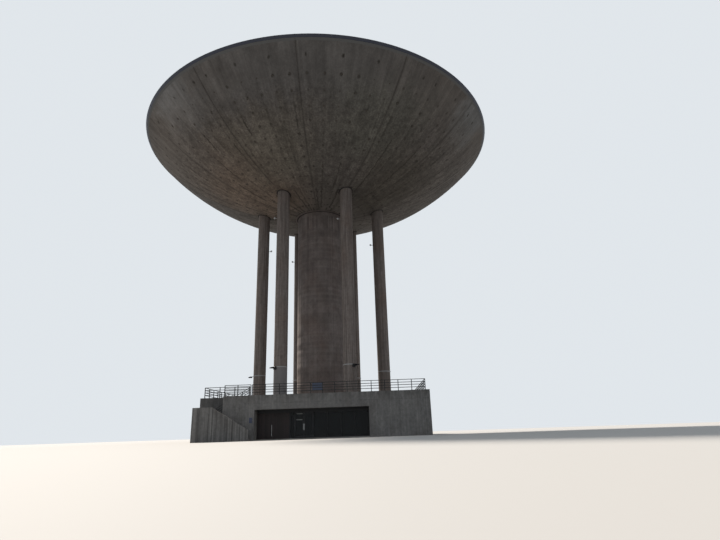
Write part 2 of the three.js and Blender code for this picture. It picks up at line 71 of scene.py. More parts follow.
# %% [markdown]
# The camera
#
# The photo was taken from low on the ground with a short lens, tilted up and turned a little off
# the level. Three angles, a place and a lens describe that. The angles were worked out from the
# ellipse of the rim and from the upright edges of the columns, so the picture has the same frame.

# %% Place the camera
EYE = Vector((6.375, -59.35, 0.37))
TILT_UP = math.radians(18.24)
TURN_LEFT = math.radians(1.38)
ROLL = math.radians(-1.89)
LENS = 24.76
FARTHEST_SEEN = 2000

ahead = Vector((
    -math.sin(TURN_LEFT) * math.cos(TILT_UP),
    math.cos(TURN_LEFT) * math.cos(TILT_UP),
    math.sin(TILT_UP),
))
level = Vector((math.cos(TURN_LEFT), math.sin(TURN_LEFT), 0))
upward = level.cross(ahead)
rolled = math.cos(ROLL) * level + math.sin(ROLL) * upward
top_of_view = rolled.cross(ahead)


def add_object(name, data):
    made = bpy.data.objects.new(name, data)
    bpy.context.scene.collection.objects.link(made)
    return made


camera = add_object("camera", bpy.data.cameras.new("camera"))
camera.data.lens = LENS
camera.data.clip_end = FARTHEST_SEEN
camera.matrix_world = Matrix((rolled, top_of_view, -ahead)).transposed().to_4x4()
camera.location = EYE * SCALE
bpy.context.scene.camera = camera
print("camera stands", round(EYE.length, 1), "m from the middle of the tower")

# %% [markdown]
# Floor and light
#
# The tower is seen against a bright sky, so what faces the camera is in soft shade. A pale world
# gives that shade. A wide sun from the left and well behind draws a thin bright edge on the left
# of each column, and throws the tank's shadow towards the camera. A wide sun has soft shadows, as
# a big studio lamp does. The floor is one large pale disc, because other views look down on it
# from far away.

# %% Make the floor, the sky and the sun
FLOOR_RADIUS = 420
FLOOR_SIDES = 128
FLOOR_GREY = (0.27, 0.27, 0.268)
FLOOR_ROUGHNESS = 0.9
SKY = (0.80, 0.845, 0.885)
SKY_LIGHT = 0.94
SUN_HEIGHT = math.radians(45)
SUN_BEHIND = math.radians(47)
SUN_WIDTH = math.radians(9)
SUN_LIGHT = 9.0
SUN_COLOUR = (1.0, 0.9, 0.79)


def full_circle(count):
    """Angles that go round once in equal steps."""
    return np.linspace(0, 2 * math.pi, count, endpoint=False)


def around(radius, turn, height=0.0, centre=(0, 0)):
    """A point at a distance and an angle from an upright axis."""
    return centre[0] + radius * math.cos(turn), centre[1] + radius * math.sin(turn), height


rim = [around(FLOOR_RADIUS * SCALE, turn) for turn in full_circle(FLOOR_SIDES)]
floor_mesh = bpy.data.meshes.new("studio_floor")
floor_mesh.from_pydata(rim, [], [tuple(range(FLOOR_SIDES))])
floor = add_object("studio_floor", floor_mesh)

pale = bpy.data.materials.new("pale_floor")
pale.use_nodes = True
pale_shader = pale.node_tree.nodes["Principled BSDF"]
pale_shader.inputs["Base Color"].default_value = (*FLOOR_GREY, 1)
pale_shader.inputs["Roughness"].default_value = FLOOR_ROUGHNESS
floor_mesh.materials.append(pale)

world = bpy.data.worlds.new("pale_sky")
world.use_nodes = True
background = world.node_tree.nodes["Background"]
background.inputs["Color"].default_value = (*SKY, 1)
background.inputs["Strength"].default_value = SKY_LIGHT
bpy.context.scene.world = world
bpy.context.scene.view_settings.view_transform = "Standard"

sun = add_object("wide_sun", bpy.data.lights.new("wide_sun", "SUN"))
sun.data.energy = SUN_LIGHT
sun.data.angle = SUN_WIDTH
sun.data.color = SUN_COLOUR
towards_sun = Vector((
    -math.cos(SUN_HEIGHT) * math.cos(SUN_BEHIND),
    math.cos(SUN_HEIGHT) * math.sin(SUN_BEHIND),
    math.sin(SUN_HEIGHT),
))
sun.rotation_mode = "QUATERNION"
sun.rotation_quaternion = towards_sun.to_track_quat("Z", "Y")
print("sun comes from", [round(v, 2) for v in towards_sun])

# %% [markdown]
# Meshes from loops of points
#
# Columns, walls, rings and rods are all one idea: a loop of points that is carried along and
# joined to the next loop with quads. Blender could give primitives and modifiers for each of
# them, but loops let every board, joint and chamfer be placed exactly, and they always close.
# A Shape gathers such skins. Each face keeps a number called board, from 0 to 1, that the
# finishes later use to make one board a little darker than the next.

# %% A Shape gathers skins, rods and blocks for one piece
PLAIN_BOARD = 0.5
GROOVE_BOARD = 0.0


class Shape:
    def __init__(self):
        self.points = []
        self.faces = []
        self.boards = []

    def skin(self, loops, ends_meet=False, boards=None):
        """Joins each loop of points to the next, and closes both ends unless they meet."""
        count = len(loops[0])
        base = len(self.points)
        for loop in loops:
            self.points.extend(tuple(point) for point in loop)
        rows = len(loops) if ends_meet else len(loops) - 1
        for row in range(rows):
            here = base + row * count
            beyond = base + (row + 1) % len(loops) * count
            for i in range(count):
                j = (i + 1) % count
                self.faces.append((here + i, here + j, beyond + j, beyond + i))
                self.boards.append(boards[row][i] if boards is not None else PLAIN_BOARD)
        if not ends_meet:
            last = base + (len(loops) - 1) * count
            self.faces.append(tuple(range(base, base + count)))
            self.faces.append(tuple(range(last, last + count)))
            self.boards.extend([PLAIN_BOARD] * 2)

    def rod(self, start, end, radius, sides=12, chamfer=0.002):
        """A round bar between two points, its ends chamfered."""
        start, end = Vector(start), Vector(end)
        along = (end - start).normalized()
        across = along.orthogonal().normalized()
        other = along.cross(across)
        length = (end - start).length
        spokes = [across * math.cos(turn) + other * math.sin(turn) for turn in full_circle(sides)]
        self.skin([
            [start + along * distance + spoke * wide for spoke in spokes]
            for distance, wide in (
                (0, radius - chamfer), (chamfer, radius),
                (length - chamfer, radius), (length, radius - chamfer),
            )
        ])

    def block(self, low, high, chamfer=0.003):
        """A box with every edge chamfered."""
        (x0, y0, z0), (x1, y1, z1) = low, high
        cut = chamfer
        loops = []
        for z, inset in ((z0, cut), (z0 + cut, 0), (z1 - cut, 0), (z1, cut)):
            left, right = x0 + inset, x1 - inset
            front, back = y0 + inset, y1 - inset
            loops.append([
                (left + cut, front, z), (right - cut, front, z),
                (right, front + cut, z), (right, back - cut, z),
                (right - cut, back, z), (left + cut, back, z),
                (left, back - cut, z), (left, front + cut, z),
            ])
        self.skin(loops)

    def piece(self, name, finish, body="tower", stands_for=(), crease=30):
        """Makes the object, gives it its finish and lets it ride on a body."""
        mesh = bpy.data.meshes.new(name)
        mesh.from_pydata((np.array(self.points) * SCALE).tolist(), [], self.faces)
        board = mesh.attributes.new("board", "FLOAT", "FACE")
        board.data.foreach_set("value", self.boards)
        sheet = bmesh.new()
        sheet.from_mesh(mesh)
        bmesh.ops.recalc_face_normals(sheet, faces=sheet.faces)
        sheet.to_mesh(mesh)
        sheet.free()
        mesh.shade_smooth()
        mesh.set_sharp_from_angle(angle=math.radians(crease))
        mesh.materials.append(finish)
        made = add_object(name, mesh)
        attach(made, body)
        if stands_for:
            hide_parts(*stands_for)
        print(name, len(mesh.polygons), "faces")


def round_loop(radius, height, turns, centre=(0, 0)):
    """A level loop of points; radius and height are numbers, or one for each turn."""
    spread = np.broadcast_to(radius, len(turns))
    heights = np.broadcast_to(height, len(turns))
    return np.stack([
        centre[0] + spread * np.cos(turns),
        centre[1] + spread * np.sin(turns),
        heights,
    ], axis=1)


# %% [markdown]
# Finishes from nodes
#
# Concrete is never one colour. It keeps the tone of every board of its mould, it has streaks
# where water ran, wide clouds of brown and grey, and a fine grain. Each of these is a noise
# texture read at its own scale, so nothing is painted and no picture is needed. A Finish holds
# one material and gives short names to the nodes that are used again and again.

# %% A Finish gives short names to material nodes
COLOUR_A, COLOUR_B, COLOUR_OUT = 6, 7, 2
# Noise has a faint grid along its own axes, and this turn keeps it off the walls' lines.
GRID_TURN = (0.55, 0.35, 0.6)


class Finish:
    def __init__(self, name, roughness, metallic=0.0, shine=0.5):
        self.material = bpy.data.materials.new(name)
        self.material.use_nodes = True
        self.nodes = self.material.node_tree.nodes
        self.links = self.material.node_tree.links
        self.shader = self.nodes["Principled BSDF"]
        self.roughness(roughness)
        self.shader.inputs["Metallic"].default_value = metallic
        self.shader.inputs["Specular IOR Level"].default_value = shine
        on_model = self.node("TexCoord").outputs["Object"]
        real_size = self.node("VectorMath", on_model, operation="SCALE")
        real_size.inputs["Scale"].default_value = 1 / SCALE
        self.place = real_size.outputs["Vector"]

    def feed(self, socket, value):
        """Links a socket into another, or sets it to a number or a colour of three parts."""
        if isinstance(value, bpy.types.NodeSocket):
            self.links.new(value, socket)
        else:
            socket.default_value = (*value, 1.0) if isinstance(value, tuple) else value

    def node(self, kind, *values, **settings):
        """A new node with these settings, its first sockets fed with these values."""
        made = self.nodes.new("ShaderNode" + kind)
        for name, setting in settings.items():
            setattr(made, name, setting)
        for socket, value in zip(made.inputs, values):
            self.feed(socket, value)
        return made

    def noise(self, sizes, detail, rough, place=None):
        """Noise with marks of one size, or of a size for each of X, Y and Z."""
        counted = self.node("Mapping", place or self.place)
        counted.inputs["Scale"].default_value = [1 / size for size in np.broadcast_to(sizes, 3)]
        counted.inputs["Rotation"].default_value = GRID_TURN
        made = self.node("TexNoise", counted.outputs["Vector"])
        made.inputs["Scale"].default_value = 1
        made.inputs["Detail"].default_value = detail
        made.inputs["Roughness"].default_value = rough
        return made.outputs["Fac"]

    def sum(self, operation, first, second=0.0):
        """One step of arithmetic."""
        return self.node("Math", first, second, operation=operation).outputs[0]

    def times(self, first, second):
        return self.sum("MULTIPLY", first, second)

    def parts(self, vector):
        """The X, Y and Z of a vector."""
        return self.node("SeparateXYZ", vector).outputs

    def joined(self, x, y):
        """A vector of two values."""
        return self.node("CombineXYZ", x, y).outputs[0]

    def spread(self, value, low, high, to_low=0.0, to_high=1.0):
        """Carries low..high over to another range and holds it there."""
        return self.node("MapRange", value, low, high, to_low, to_high).outputs["Result"]

    def mixed(self, amount, first, second, blend="MIX"):
        made = self.node("Mix", amount, data_type="RGBA", blend_type=blend)
        self.feed(made.inputs[COLOUR_A], first)
        self.feed(made.inputs[COLOUR_B], second)
        return made.outputs[COLOUR_OUT]

    def shaded(self, colour, value, low, high, dark, light):
        """Darkens or lightens a colour where a value is low or high."""
        return self.mixed(1.0, colour, self.spread(value, low, high, dark, light), "MULTIPLY")

    def board(self):
        """The number that each face of a Shape keeps."""
        return self.node("Attribute", attribute_name="board").outputs["Fac"]

    def colour(self, value):
        self.feed(self.shader.inputs["Base Color"], value)

    def roughness(self, value):
        self.feed(self.shader.inputs["Roughness"], value)

    def relief(self, height, depth):
        """Fine bumps that are too small to model."""
        made = self.node("Bump")
        made.inputs["Distance"].default_value = depth * SCALE
        self.feed(made.inputs["Height"], height)
        self.links.new(made.outputs["Normal"], self.shader.inputs["Normal"])


# %% [markdown]
# Cast concrete
#
# The walls, columns and shaft share one recipe. Upright streaks come from noise that is squeezed
# sideways and stretched along Z, clouds from coarse noise, and grain from fine noise that also
# gives the bumps. What changes is the colour and the size of each layer, so it is one function.

# %% A recipe for cast concrete
GRAIN = 0.012
GRAIN_DEPTH = 0.002
MOTTLE = 0.28
RUN = (0.32, 0.32, 3.0)
RUN_LENGTH = 0.8
RUN_STRENGTH = 0.6
RUN_DARK = (0.050, 0.049, 0.048)
PARAPET_TOP = 4.26
UPWARD_DARK_COLOUR = (0.020, 0.021, 0.022)
COAT = (0.118, 0.117, 0.122)
COAT_THICK = 0.75
COAT_TOP = 7.2
COAT_EDGE = 0.02
PAINTED_LIGHT_UNDER = 5
PAINTED_SHADE_OVER = 27


def cast_concrete(name, pale, dark, stain, streak=(0.16, 0.16, 2.6), cloud=2.4, boards=0.3,
                  upward_dark=0.0, mottle=0.1, runs_from=None, painted_height_shade=0.0, coat_below=None):
    """Streaks, clouds and grain.

    It may be darker on faces that look up, have runs below a top edge and a coat of paint near the foot.
    Painted shade can make it paler low down and darker high up, under the tank.
    """
    made = Finish(name, 0.88, shine=0.15)
    streaks = made.noise(streak, 4, 0.6)
    clouds = made.noise((cloud, cloud, cloud * 1.6), 4, 0.6)
    mottles = made.noise(MOTTLE, 4, 0.7)
    grain = made.noise(GRAIN, 3, 0.7)
    height = made.parts(made.place)["Z"]
    colour = made.mixed(made.spread(streaks, 0.33, 0.68), dark, pale)
    colour = made.mixed(made.spread(clouds, 0.48, 0.72, 0, 0.8), colour, stain)
    colour = made.shaded(colour, mottles, 0.3, 0.7, 1 - mottle, 1 + mottle)
    if boards:
        colour = made.shaded(colour, made.board(), 0, 1, 1 - boards, 1 + boards)
    if coat_below:
        coated = made.spread(height, coat_below, coat_below + COAT_EDGE, COAT_THICK, 0)
        colour = made.mixed(coated, colour, COAT)
    colour = made.shaded(colour, grain, 0.3, 0.7, 0.88, 1.12)
    # Painted light and shade: paler low down and darker high up, under the tank.
    if painted_height_shade:
        colour = made.shaded(colour, height, PAINTED_LIGHT_UNDER, PAINTED_SHADE_OVER, 1 + painted_height_shade, 1 - painted_height_shade)
    if runs_from:
        below = made.spread(height, runs_from - RUN_LENGTH, runs_from)
        wet = made.times(below, made.spread(made.noise(RUN, 4, 0.65), 0.42, 0.62))
        colour = made.mixed(made.times(wet, RUN_STRENGTH), colour, RUN_DARK)
    # Darker on faces that look up, such as the tops of walls and parapets.
    if upward_dark:
        normal = made.node("NewGeometry").outputs["Normal"]
        looks_up = made.spread(made.parts(normal)["Z"], 0.5, 0.8, 0, upward_dark)
        colour = made.mixed(looks_up, colour, UPWARD_DARK_COLOUR)
    made.colour(colour)
    made.roughness(made.spread(clouds, 0.3, 0.7, 0.8, 0.95))
    made.relief(grain, GRAIN_DEPTH)
    return made.material


# %% Mix the concretes
COLUMN_TONES = (0.134, 0.118, 0.111), (0.081, 0.069, 0.064), (0.102, 0.080, 0.070)
PALER_TONES = (0.147, 0.130, 0.122), (0.089, 0.076, 0.070), (0.112, 0.088, 0.077)
COLUMN_CAST = {"boards": 0.24, "mottle": 0.14}
# How strongly painted shade darkens the columns and shaft high up and lightens them low down.
COLUMN_HEIGHT_SHADE = 0.14
PALER_HEIGHT_SHADE = 0.04
WALL_CAST = {"streak": (0.4, 0.4, 1.8), "cloud": 1.1, "boards": 0.08, "upward_dark": 0.9,
             "runs_from": PARAPET_TOP}

column_concrete = cast_concrete(
    "column_concrete", *COLUMN_TONES, **COLUMN_CAST, painted_height_shade=COLUMN_HEIGHT_SHADE)
coated_concrete = cast_concrete(
    "coated_concrete", *COLUMN_TONES, **COLUMN_CAST, painted_height_shade=COLUMN_HEIGHT_SHADE, coat_below=COAT_TOP)
paler_concrete = cast_concrete(
    "paler_concrete", *PALER_TONES, **COLUMN_CAST, painted_height_shade=PALER_HEIGHT_SHADE)
shaft_concrete = cast_concrete(
    "shaft_concrete", (0.123, 0.107, 0.102), (0.078, 0.066, 0.063), (0.094, 0.073, 0.066),
    streak=(0.9, 0.9, 1.6), cloud=2.6, boards=0.24, painted_height_shade=COLUMN_HEIGHT_SHADE)
wall_concrete = cast_concrete(
    "wall_concrete", (0.140, 0.137, 0.134), (0.104, 0.102, 0.101), (0.092, 0.087, 0.083),
    **WALL_CAST, mottle=0.18)
# Painted shade: a darker copy of the wall concrete, for the wall set back behind the stair, which lies
# in shade.
painted_shade_wall = cast_concrete(
    "painted_shade_wall", (0.096, 0.095, 0.095), (0.070, 0.069, 0.069), (0.066, 0.063, 0.060),
    **WALL_CAST, mottle=0.16)
board_marked = cast_concrete(
    "board_marked", (0.138, 0.135, 0.132), (0.086, 0.084, 0.083), (0.086, 0.081, 0.078),
    streak=(0.2, 0.2, 2.6), cloud=1.5, upward_dark=0.9, mottle=0.16)
slab_concrete = cast_concrete(
    "slab_concrete", (0.19, 0.18, 0.168), (0.13, 0.124, 0.117), (0.13, 0.117, 0.102),
    streak=0.6, cloud=1.8, boards=0, mottle=0.15)
smooth_concrete = cast_concrete(
    "smooth_concrete", (0.20, 0.19, 0.18), (0.15, 0.142, 0.134), (0.15, 0.136, 0.12),
    streak=0.5, cloud=1.2, boards=0, mottle=0.12)

# %% [markdown]
# The underside of the tank
#
# The underside was cast on boards that run out from the shaft like rays, so its marks are
# counted round the axis: by the angle and by the distance from the middle. Dark spots sit in rows
# where the ties of the mould came through. The finish works out for every point how far it is
# from the nearest tie, and lets noise decide which ties have stained the concrete. Some rows have
# run together into crooked dark streaks.

# %% Values of the tank's underside
BOARD_ANGLE = math.radians(0.75)
TIE_ANGLE = math.radians(5)
TIE_STEP = 1.25
TIE_FIRST = 4.5
TIE_LAST = 20.6
TIE_WOBBLE = 0.16
SPOT_EDGE = (0.07, 0.18)
RUN_EDGE = (0.03, 0.11)
RUN_TIES = 3
RUNS_FADE = (16.5, 18.5)
JOINT_ANGLE = math.radians(30)
SEEP_EDGE = (0.03, 0.22)
STRIP_START = 21.6
UNDERSIDE_BASE = (0.080, 0.073, 0.068)
UNDERSIDE_STAIN = (0.022, 0.020, 0.017)
SEEP_COLOUR = (0.036, 0.033, 0.030)
STRIP_COLOUR = (0.076, 0.077, 0.078)
REGION_CORE = 0.35
# Patches on the underside. The pale ones near the rim at -134 and -24 degrees are painted reflections of
# the sky. The paler patches on the left and the darker ones on the right are partly the concrete's own
# tint and partly painted light and shade, the left catching more light from the ground.
UNDERSIDE_TINTS_AND_PAINTED_LIGHT = [
    # azimuth, half width in degrees, from and to radius, how strong, colour
    (-90, 44, (16.0, 19.0, 22.5, 23.0), 0.6, (0.074, 0.073, 0.074)),
    # painted reflection of the sky: a pale patch near the rim on the left
    (-134, 13, (16.8, 20.6, 22.5, 23.0), 0.85, (0.128, 0.128, 0.130)),
    # painted reflection of the sky: a pale bluish patch near the rim on the right
    (-24, 12, (18.0, 20.8, 22.5, 23.0), 0.7, (0.106, 0.110, 0.114)),
    (-140, 56, (2.5, 5.5, 13.0, 18.0), 0.8, (0.128, 0.099, 0.079)),
    (-160, 36, (12.0, 16.0, 20.0, 22.0), 0.6, (0.112, 0.099, 0.089)),
    (-108, 30, (8.0, 11.0, 15.0, 18.0), 0.5, (0.098, 0.094, 0.080)),
    (-62, 24, (11.0, 14.0, 18.0, 20.5), 0.5, (0.080, 0.081, 0.070)),
    (-30, 34, (4.0, 7.0, 13.0, 17.0), 0.6, (0.052, 0.046, 0.037)),
]


def from_nearest(made, value, step):
    """How far a value is from the middle of its step, in steps, from -0.5 to 0.5."""
    counted = made.sum("DIVIDE", value, step)
    return made.sum("SUBTRACT", made.sum("FRACT", counted), 0.5)


def cell_chance(made, first, second):
    """A number between 0 and 1 that stays the same all over one cell."""
    cell = made.joined(made.sum("FLOOR", first), made.sum("FLOOR", second))
    return made.node("TexWhiteNoise", cell).outputs["Value"]


# %% Stains round the ties and along their rows
def tie_stains(made, angle, radius, wobble):
    """1 at a tie that has stained the concrete, falling to 0 around it."""
    across = made.times(made.times(from_nearest(made, angle, TIE_ANGLE), TIE_ANGLE), radius)
    shifted = made.sum("ADD", across, made.spread(wobble, 0.2, 0.8, -TIE_WOBBLE, TIE_WOBBLE))
    counted = made.sum("SUBTRACT", radius, TIE_FIRST - TIE_STEP / 2)
    along = made.times(from_nearest(made, counted, TIE_STEP), TIE_STEP)
    squares = made.sum("ADD", made.times(shifted, shifted), made.times(along, along))
    away = made.sum("SQRT", squares)
    row = made.sum("DIVIDE", angle, TIE_ANGLE)
    chance = cell_chance(made, row, made.sum("DIVIDE", counted, TIE_STEP))
    spots = made.times(made.spread(away, *SPOT_EDGE, 1, 0), made.spread(chance, 0.2, 0.6))
    line = made.spread(made.sum("ABSOLUTE", shifted), *RUN_EDGE, 1, 0)
    stretch = made.sum("DIVIDE", counted, TIE_STEP * RUN_TIES)
    # Seven rows further on, so that the runs don't follow the spots' own chances.
    chance = cell_chance(made, made.sum("ADD", row, 7.0), stretch)
    run_here = made.times(made.spread(chance, 0.66, 0.8), made.spread(radius, *RUNS_FADE, 0.85, 0))
    return made.sum("MAXIMUM", spots, made.times(line, run_here))


def region(made, angle, radius, middle, half, reach):
    """1 inside a part of the underside given by angle and radius, with soft edges."""
    off = made.sum("ABSOLUTE", made.sum("SUBTRACT", angle, math.radians(middle)))
    inside = made.spread(off, math.radians(half * REGION_CORE), math.radians(half), 1, 0)
    inside = made.times(inside, made.spread(radius, *reach[:2]))
    return made.times(inside, made.spread(radius, *reach[2:], 1, 0))


# %% Mix the finish of the tank's underside
def round_place(made):
    """The angle round the axis, and the distance from it."""
    parts = made.parts(made.place)
    angle = made.sum("ARCTAN2", parts["Y"], parts["X"])
    flat = made.joined(parts["X"], parts["Y"])
    return angle, made.node("VectorMath", flat, operation="LENGTH").outputs["Value"]


def underside_concrete():
    made = Finish("underside_concrete", 0.9, shine=0.15)
    angle, radius = round_place(made)
    ray = made.joined(angle, radius)
    streaks = made.noise((0.013, 2.8, 1), 4, 0.65, ray)
    bands = made.noise((0.07, 4.0, 1), 4, 0.65, ray)
    clouds = made.noise(2.6, 5, 0.65)
    blots = made.noise(0.6, 4, 0.7)
    flecks = made.noise(0.17, 3, 0.65)
    grain = made.noise(GRAIN, 3, 0.7)
    wobble = made.noise(0.5, 3, 0.6)
    ragged = made.sum("ADD", angle, made.spread(clouds, 0.2, 0.8, -0.12, 0.12))
    wavy = made.sum("ADD", radius, made.spread(bands, 0.2, 0.8, -1.2, 1.2))
    colour = UNDERSIDE_BASE
    # Mixes in the patches, with their painted reflections and painted light and shade.
    for middle, half, reach, strength, patch_colour in UNDERSIDE_TINTS_AND_PAINTED_LIGHT:
        inside = region(made, ragged, wavy, middle, half, reach)
        colour = made.mixed(made.times(inside, strength), colour, patch_colour)
    for value, low, high, dark, light in (
        (streaks, 0.3, 0.7, 0.9, 1.1), (bands, 0.3, 0.7, 0.86, 1.12), (clouds, 0.3, 0.7, 0.84, 1.18),
        (made.board(), 0, 1, 0.92, 1.08), (grain, 0.3, 0.7, 0.9, 1.1),
    ):
        colour = made.shaded(colour, value, low, high, dark, light)
    mottled = made.shaded(colour, blots, 0.35, 0.65, 0.72, 1.2)
    mottled = made.shaded(mottled, flecks, 0.35, 0.62, 1.1, 0.72)
    middle_ring = made.times(made.spread(wavy, 5, 8), made.spread(wavy, 17, 20, 1, 0))
    colour = made.mixed(made.spread(middle_ring, 0, 1, 0.35, 1), colour, mottled)
    stains = tie_stains(made, angle, radius, wobble)
    stains = made.times(stains, made.spread(clouds, 0.35, 0.58, 0.45, 1.0))
    colour = made.mixed(stains, colour, UNDERSIDE_STAIN)
    joint = made.sum("ADD", angle, JOINT_ANGLE / 2)
    away = made.times(made.sum("ABSOLUTE", from_nearest(made, joint, JOINT_ANGLE)), JOINT_ANGLE)
    seep = made.spread(made.times(away, radius), *SEEP_EDGE, 0.7, 0)
    colour = made.mixed(made.times(seep, made.spread(bands, 0.35, 0.6)), colour, SEEP_COLOUR)
    strip = made.spread(radius, STRIP_START, STRIP_START + 0.01)
    made.colour(made.mixed(strip, colour, STRIP_COLOUR))
    made.relief(grain, GRAIN_DEPTH)
    return made.material


shell_concrete = underside_concrete()

# %% [markdown]
# The bowl
#
# The tank's underside is part of one large sphere. A sphere primitive would be smooth, and the
# real one is not: each board of the mould left a step of a few millimetres. So the bowl is a
# closed skin of loops that run once round the section, from the shaft out to the rim and back
# along the inside. Every board has two columns of points at its own depth. Near the shaft the
# boards would be too narrow, so they go in twos and fours there.

# %% Model the bowl with its boards, joints and rim strip
CAP_RADIUS = 29.7
CAP_BOTTOM = 26.77
CAP_CENTRE = CAP_BOTTOM + CAP_RADIUS
SHELL_THICK = 0.4
SHELL_TOP = 36.28
SHAFT_RADIUS = 2.89
FIT = 0.0003
BOARDS_ROUND = round(2 * math.pi / BOARD_ANGLE)
BOARDS_IN_JOINT = round(JOINT_ANGLE / BOARD_ANGLE)
STEP_DEPTH = 0.006
HALF_SEAM = 0.004
HALF_JOINT = 0.03
JOINT_DEPTH = 0.035
INSIDE_SHARE = 0.45
STRIP_STEP = 0.02
POINTS_OUT = 26
POINTS_BACK = 9
PAIRED_WITHIN = 11.5
FOURFOLD_WITHIN = 6.0
PLACES = ["right", "back_right", "back_left", "left", "front_left", "front_right"]


def underside(radius, sphere=CAP_RADIUS):
    """Height of the tank's underside at a distance from the axis."""
    return CAP_CENTRE - np.sqrt(sphere**2 - np.asarray(radius) ** 2)


def reach_at_top(sphere):
    """Distance from the axis where a sphere comes up to the top of the shell."""
    return math.sqrt(sphere**2 - (CAP_CENTRE - SHELL_TOP) ** 2)


SHELL_EDGE = reach_at_top(CAP_RADIUS)
INNER_SPHERE = CAP_RADIUS - SHELL_THICK


def bowl_section():
    """Radii out along the underside, from the shaft to the edge, then back along the inside."""
    out = list(np.linspace(SHAFT_RADIUS + FIT, STRIP_START - STRIP_STEP, POINTS_OUT))
    out += [STRIP_START, STRIP_START + STRIP_STEP, SHELL_EDGE]
    back = list(np.linspace(reach_at_top(INNER_SPHERE), SHAFT_RADIUS + FIT, POINTS_BACK))
    return out, back


def bowl_columns():
    """For each column of points: its board, its side of it, and whether it is inside a joint."""
    columns = []
    for board in range(BOARDS_ROUND):
        if board % BOARDS_IN_JOINT == 0:
            columns.append((board, 0, True))
        columns.append((board, 1, False))
        columns.append((board, -1, False))
    return columns


def draws(chance, count, low=0.0, high=1.0):
    """Random numbers, one for each board."""
    return np.array([chance.uniform(low, high) for _ in range(count)])


def make_bowl():
    chance = random.Random(5)
    depths = draws(chance, BOARDS_ROUND, -1, 1) * STEP_DEPTH
    tones = draws(chance, BOARDS_ROUND)
    out, back = bowl_section()
    loops = []
    boards = []
    for board, side, joint in bowl_columns():
        start = board * BOARD_ANGLE
        at_joint = (board if side > 0 else board + 1) % BOARDS_IN_JOINT == 0
        half = HALF_JOINT if at_joint else HALF_SEAM
        loop = []
        tone = []
        for radius in out:
            group = 4 if radius < FOURFOLD_WITHIN else 2 if radius < PAIRED_WITHIN else 1
            owner = board // group * group
            turn = start + (side > 0) * half / radius + (side < 0) * (BOARD_ANGLE - half / radius)
            plain = radius >= STRIP_START
            depth = JOINT_DEPTH if joint else 0 if plain else depths[owner]
            loop.append(around(radius, turn, underside(radius, CAP_RADIUS - depth)))
            tone.append(GROOVE_BOARD if joint else PLAIN_BOARD if plain else tones[owner])
        turn = start + (0 if joint else BOARD_ANGLE / 2 - side * BOARD_ANGLE * INSIDE_SHARE)
        loop += [around(radius, turn, underside(radius, INNER_SPHERE)) for radius in back]
        tone += [PLAIN_BOARD] * len(back)
        for edge in (len(out) - 1, len(out)):
            loop[edge] = (*loop[edge][:2], SHELL_TOP)
        loops.append(loop)
        boards.append(tone)
    bowl = Shape()
    bowl.skin(loops, ends_meet=True, boards=boards)
    nodes = [f"tank_shell_{place}" for place in PLACES]
    bowl.piece("tank_bowl", shell_concrete, stands_for=nodes, crease=18)


make_bowl()

# %% [markdown]
# Ties, rings of painted shade and a collar
#
# Where a tie of the mould came through, a round plug of darker mortar fills its hole. There are
# hundreds, in rows, so one loop makes them as a single mesh. Round the top of each column and of
# the shaft, a flat black ring hugs the bowl: painted shade for the dark shadow gap where each meets
# the tank. The shaft also has a pale collar outside it.

# %% Model the plugs and the rings
PLUG_RADIUS = 0.075
PLUG_PROUD = 0.006
PLUG_SIDES = 10
EVERY_OTHER_WITHIN = PAIRED_WITHIN - 2
COLUMN_RADIUS = 0.717
COLUMN_CIRCLE = 7.39
RING_WIDTH = 0.13
RING_INTO = 0.02
RING_PROUD = 0.02
RING_STEPS = 72
COLLAR = (3.04, 3.24)


def column_place(index):
    return around(COLUMN_CIRCLE, index * math.pi / 3)[:2]


def near_column(x, y):
    places = [column_place(i) for i in range(len(PLACES))]
    return any(math.hypot(x - a, y - b) < COLUMN_RADIUS + 3 * PLUG_RADIUS for a, b in places)


def make_plugs():
    plugs = Shape()
    for row in range(round(2 * math.pi / TIE_ANGLE)):
        turn = (row + 0.5) * TIE_ANGLE
        for radius in np.arange(TIE_FIRST, TIE_LAST, TIE_STEP):
            centre = Vector(around(radius, turn, float(underside(radius))))
            skipped = radius < EVERY_OTHER_WITHIN and row % 2
            if skipped or near_column(radius * math.cos(turn), radius * math.sin(turn)):
                continue
            down = (centre - Vector((0, 0, CAP_CENTRE))).normalized()
            start = centre - down * STEP_DEPTH * 2
            plugs.rod(start, centre + down * PLUG_PROUD, PLUG_RADIUS, PLUG_SIDES)
    plugs.piece("tie_plugs", plug_mortar)


def ring_under_bowl(shape, centre, inner, outer, proud, steps=RING_STEPS):
    """A flat ring round a centre that hugs the curved underside and stands a little below it."""
    loops = []
    for turn in full_circle(steps):
        loop = []
        for radius, drop in ((inner, -proud), (outer, -proud), (outer, proud), (inner, proud)):
            x, y, _ = around(radius, turn, centre=centre)
            loop.append((x, y, float(underside(math.hypot(x, y))) + drop))
        loops.append(loop)
    shape.skin(loops, ends_meet=True)


plug_mortar = cast_concrete(
    "plug_mortar", (0.06, 0.054, 0.048), (0.035, 0.031, 0.028), (0.045, 0.036, 0.028),
    streak=0.05, cloud=0.9, boards=0)
# Painted shade: black rings where the columns and the shaft meet the tank stand for the shadow in the
# gap there.
painted_gap_shade = cast_concrete(
    "painted_gap_shade", (0.02, 0.02, 0.02), (0.012, 0.012, 0.012), (0.018, 0.016, 0.014),
    streak=0.05, cloud=0.6, boards=0)
make_plugs()
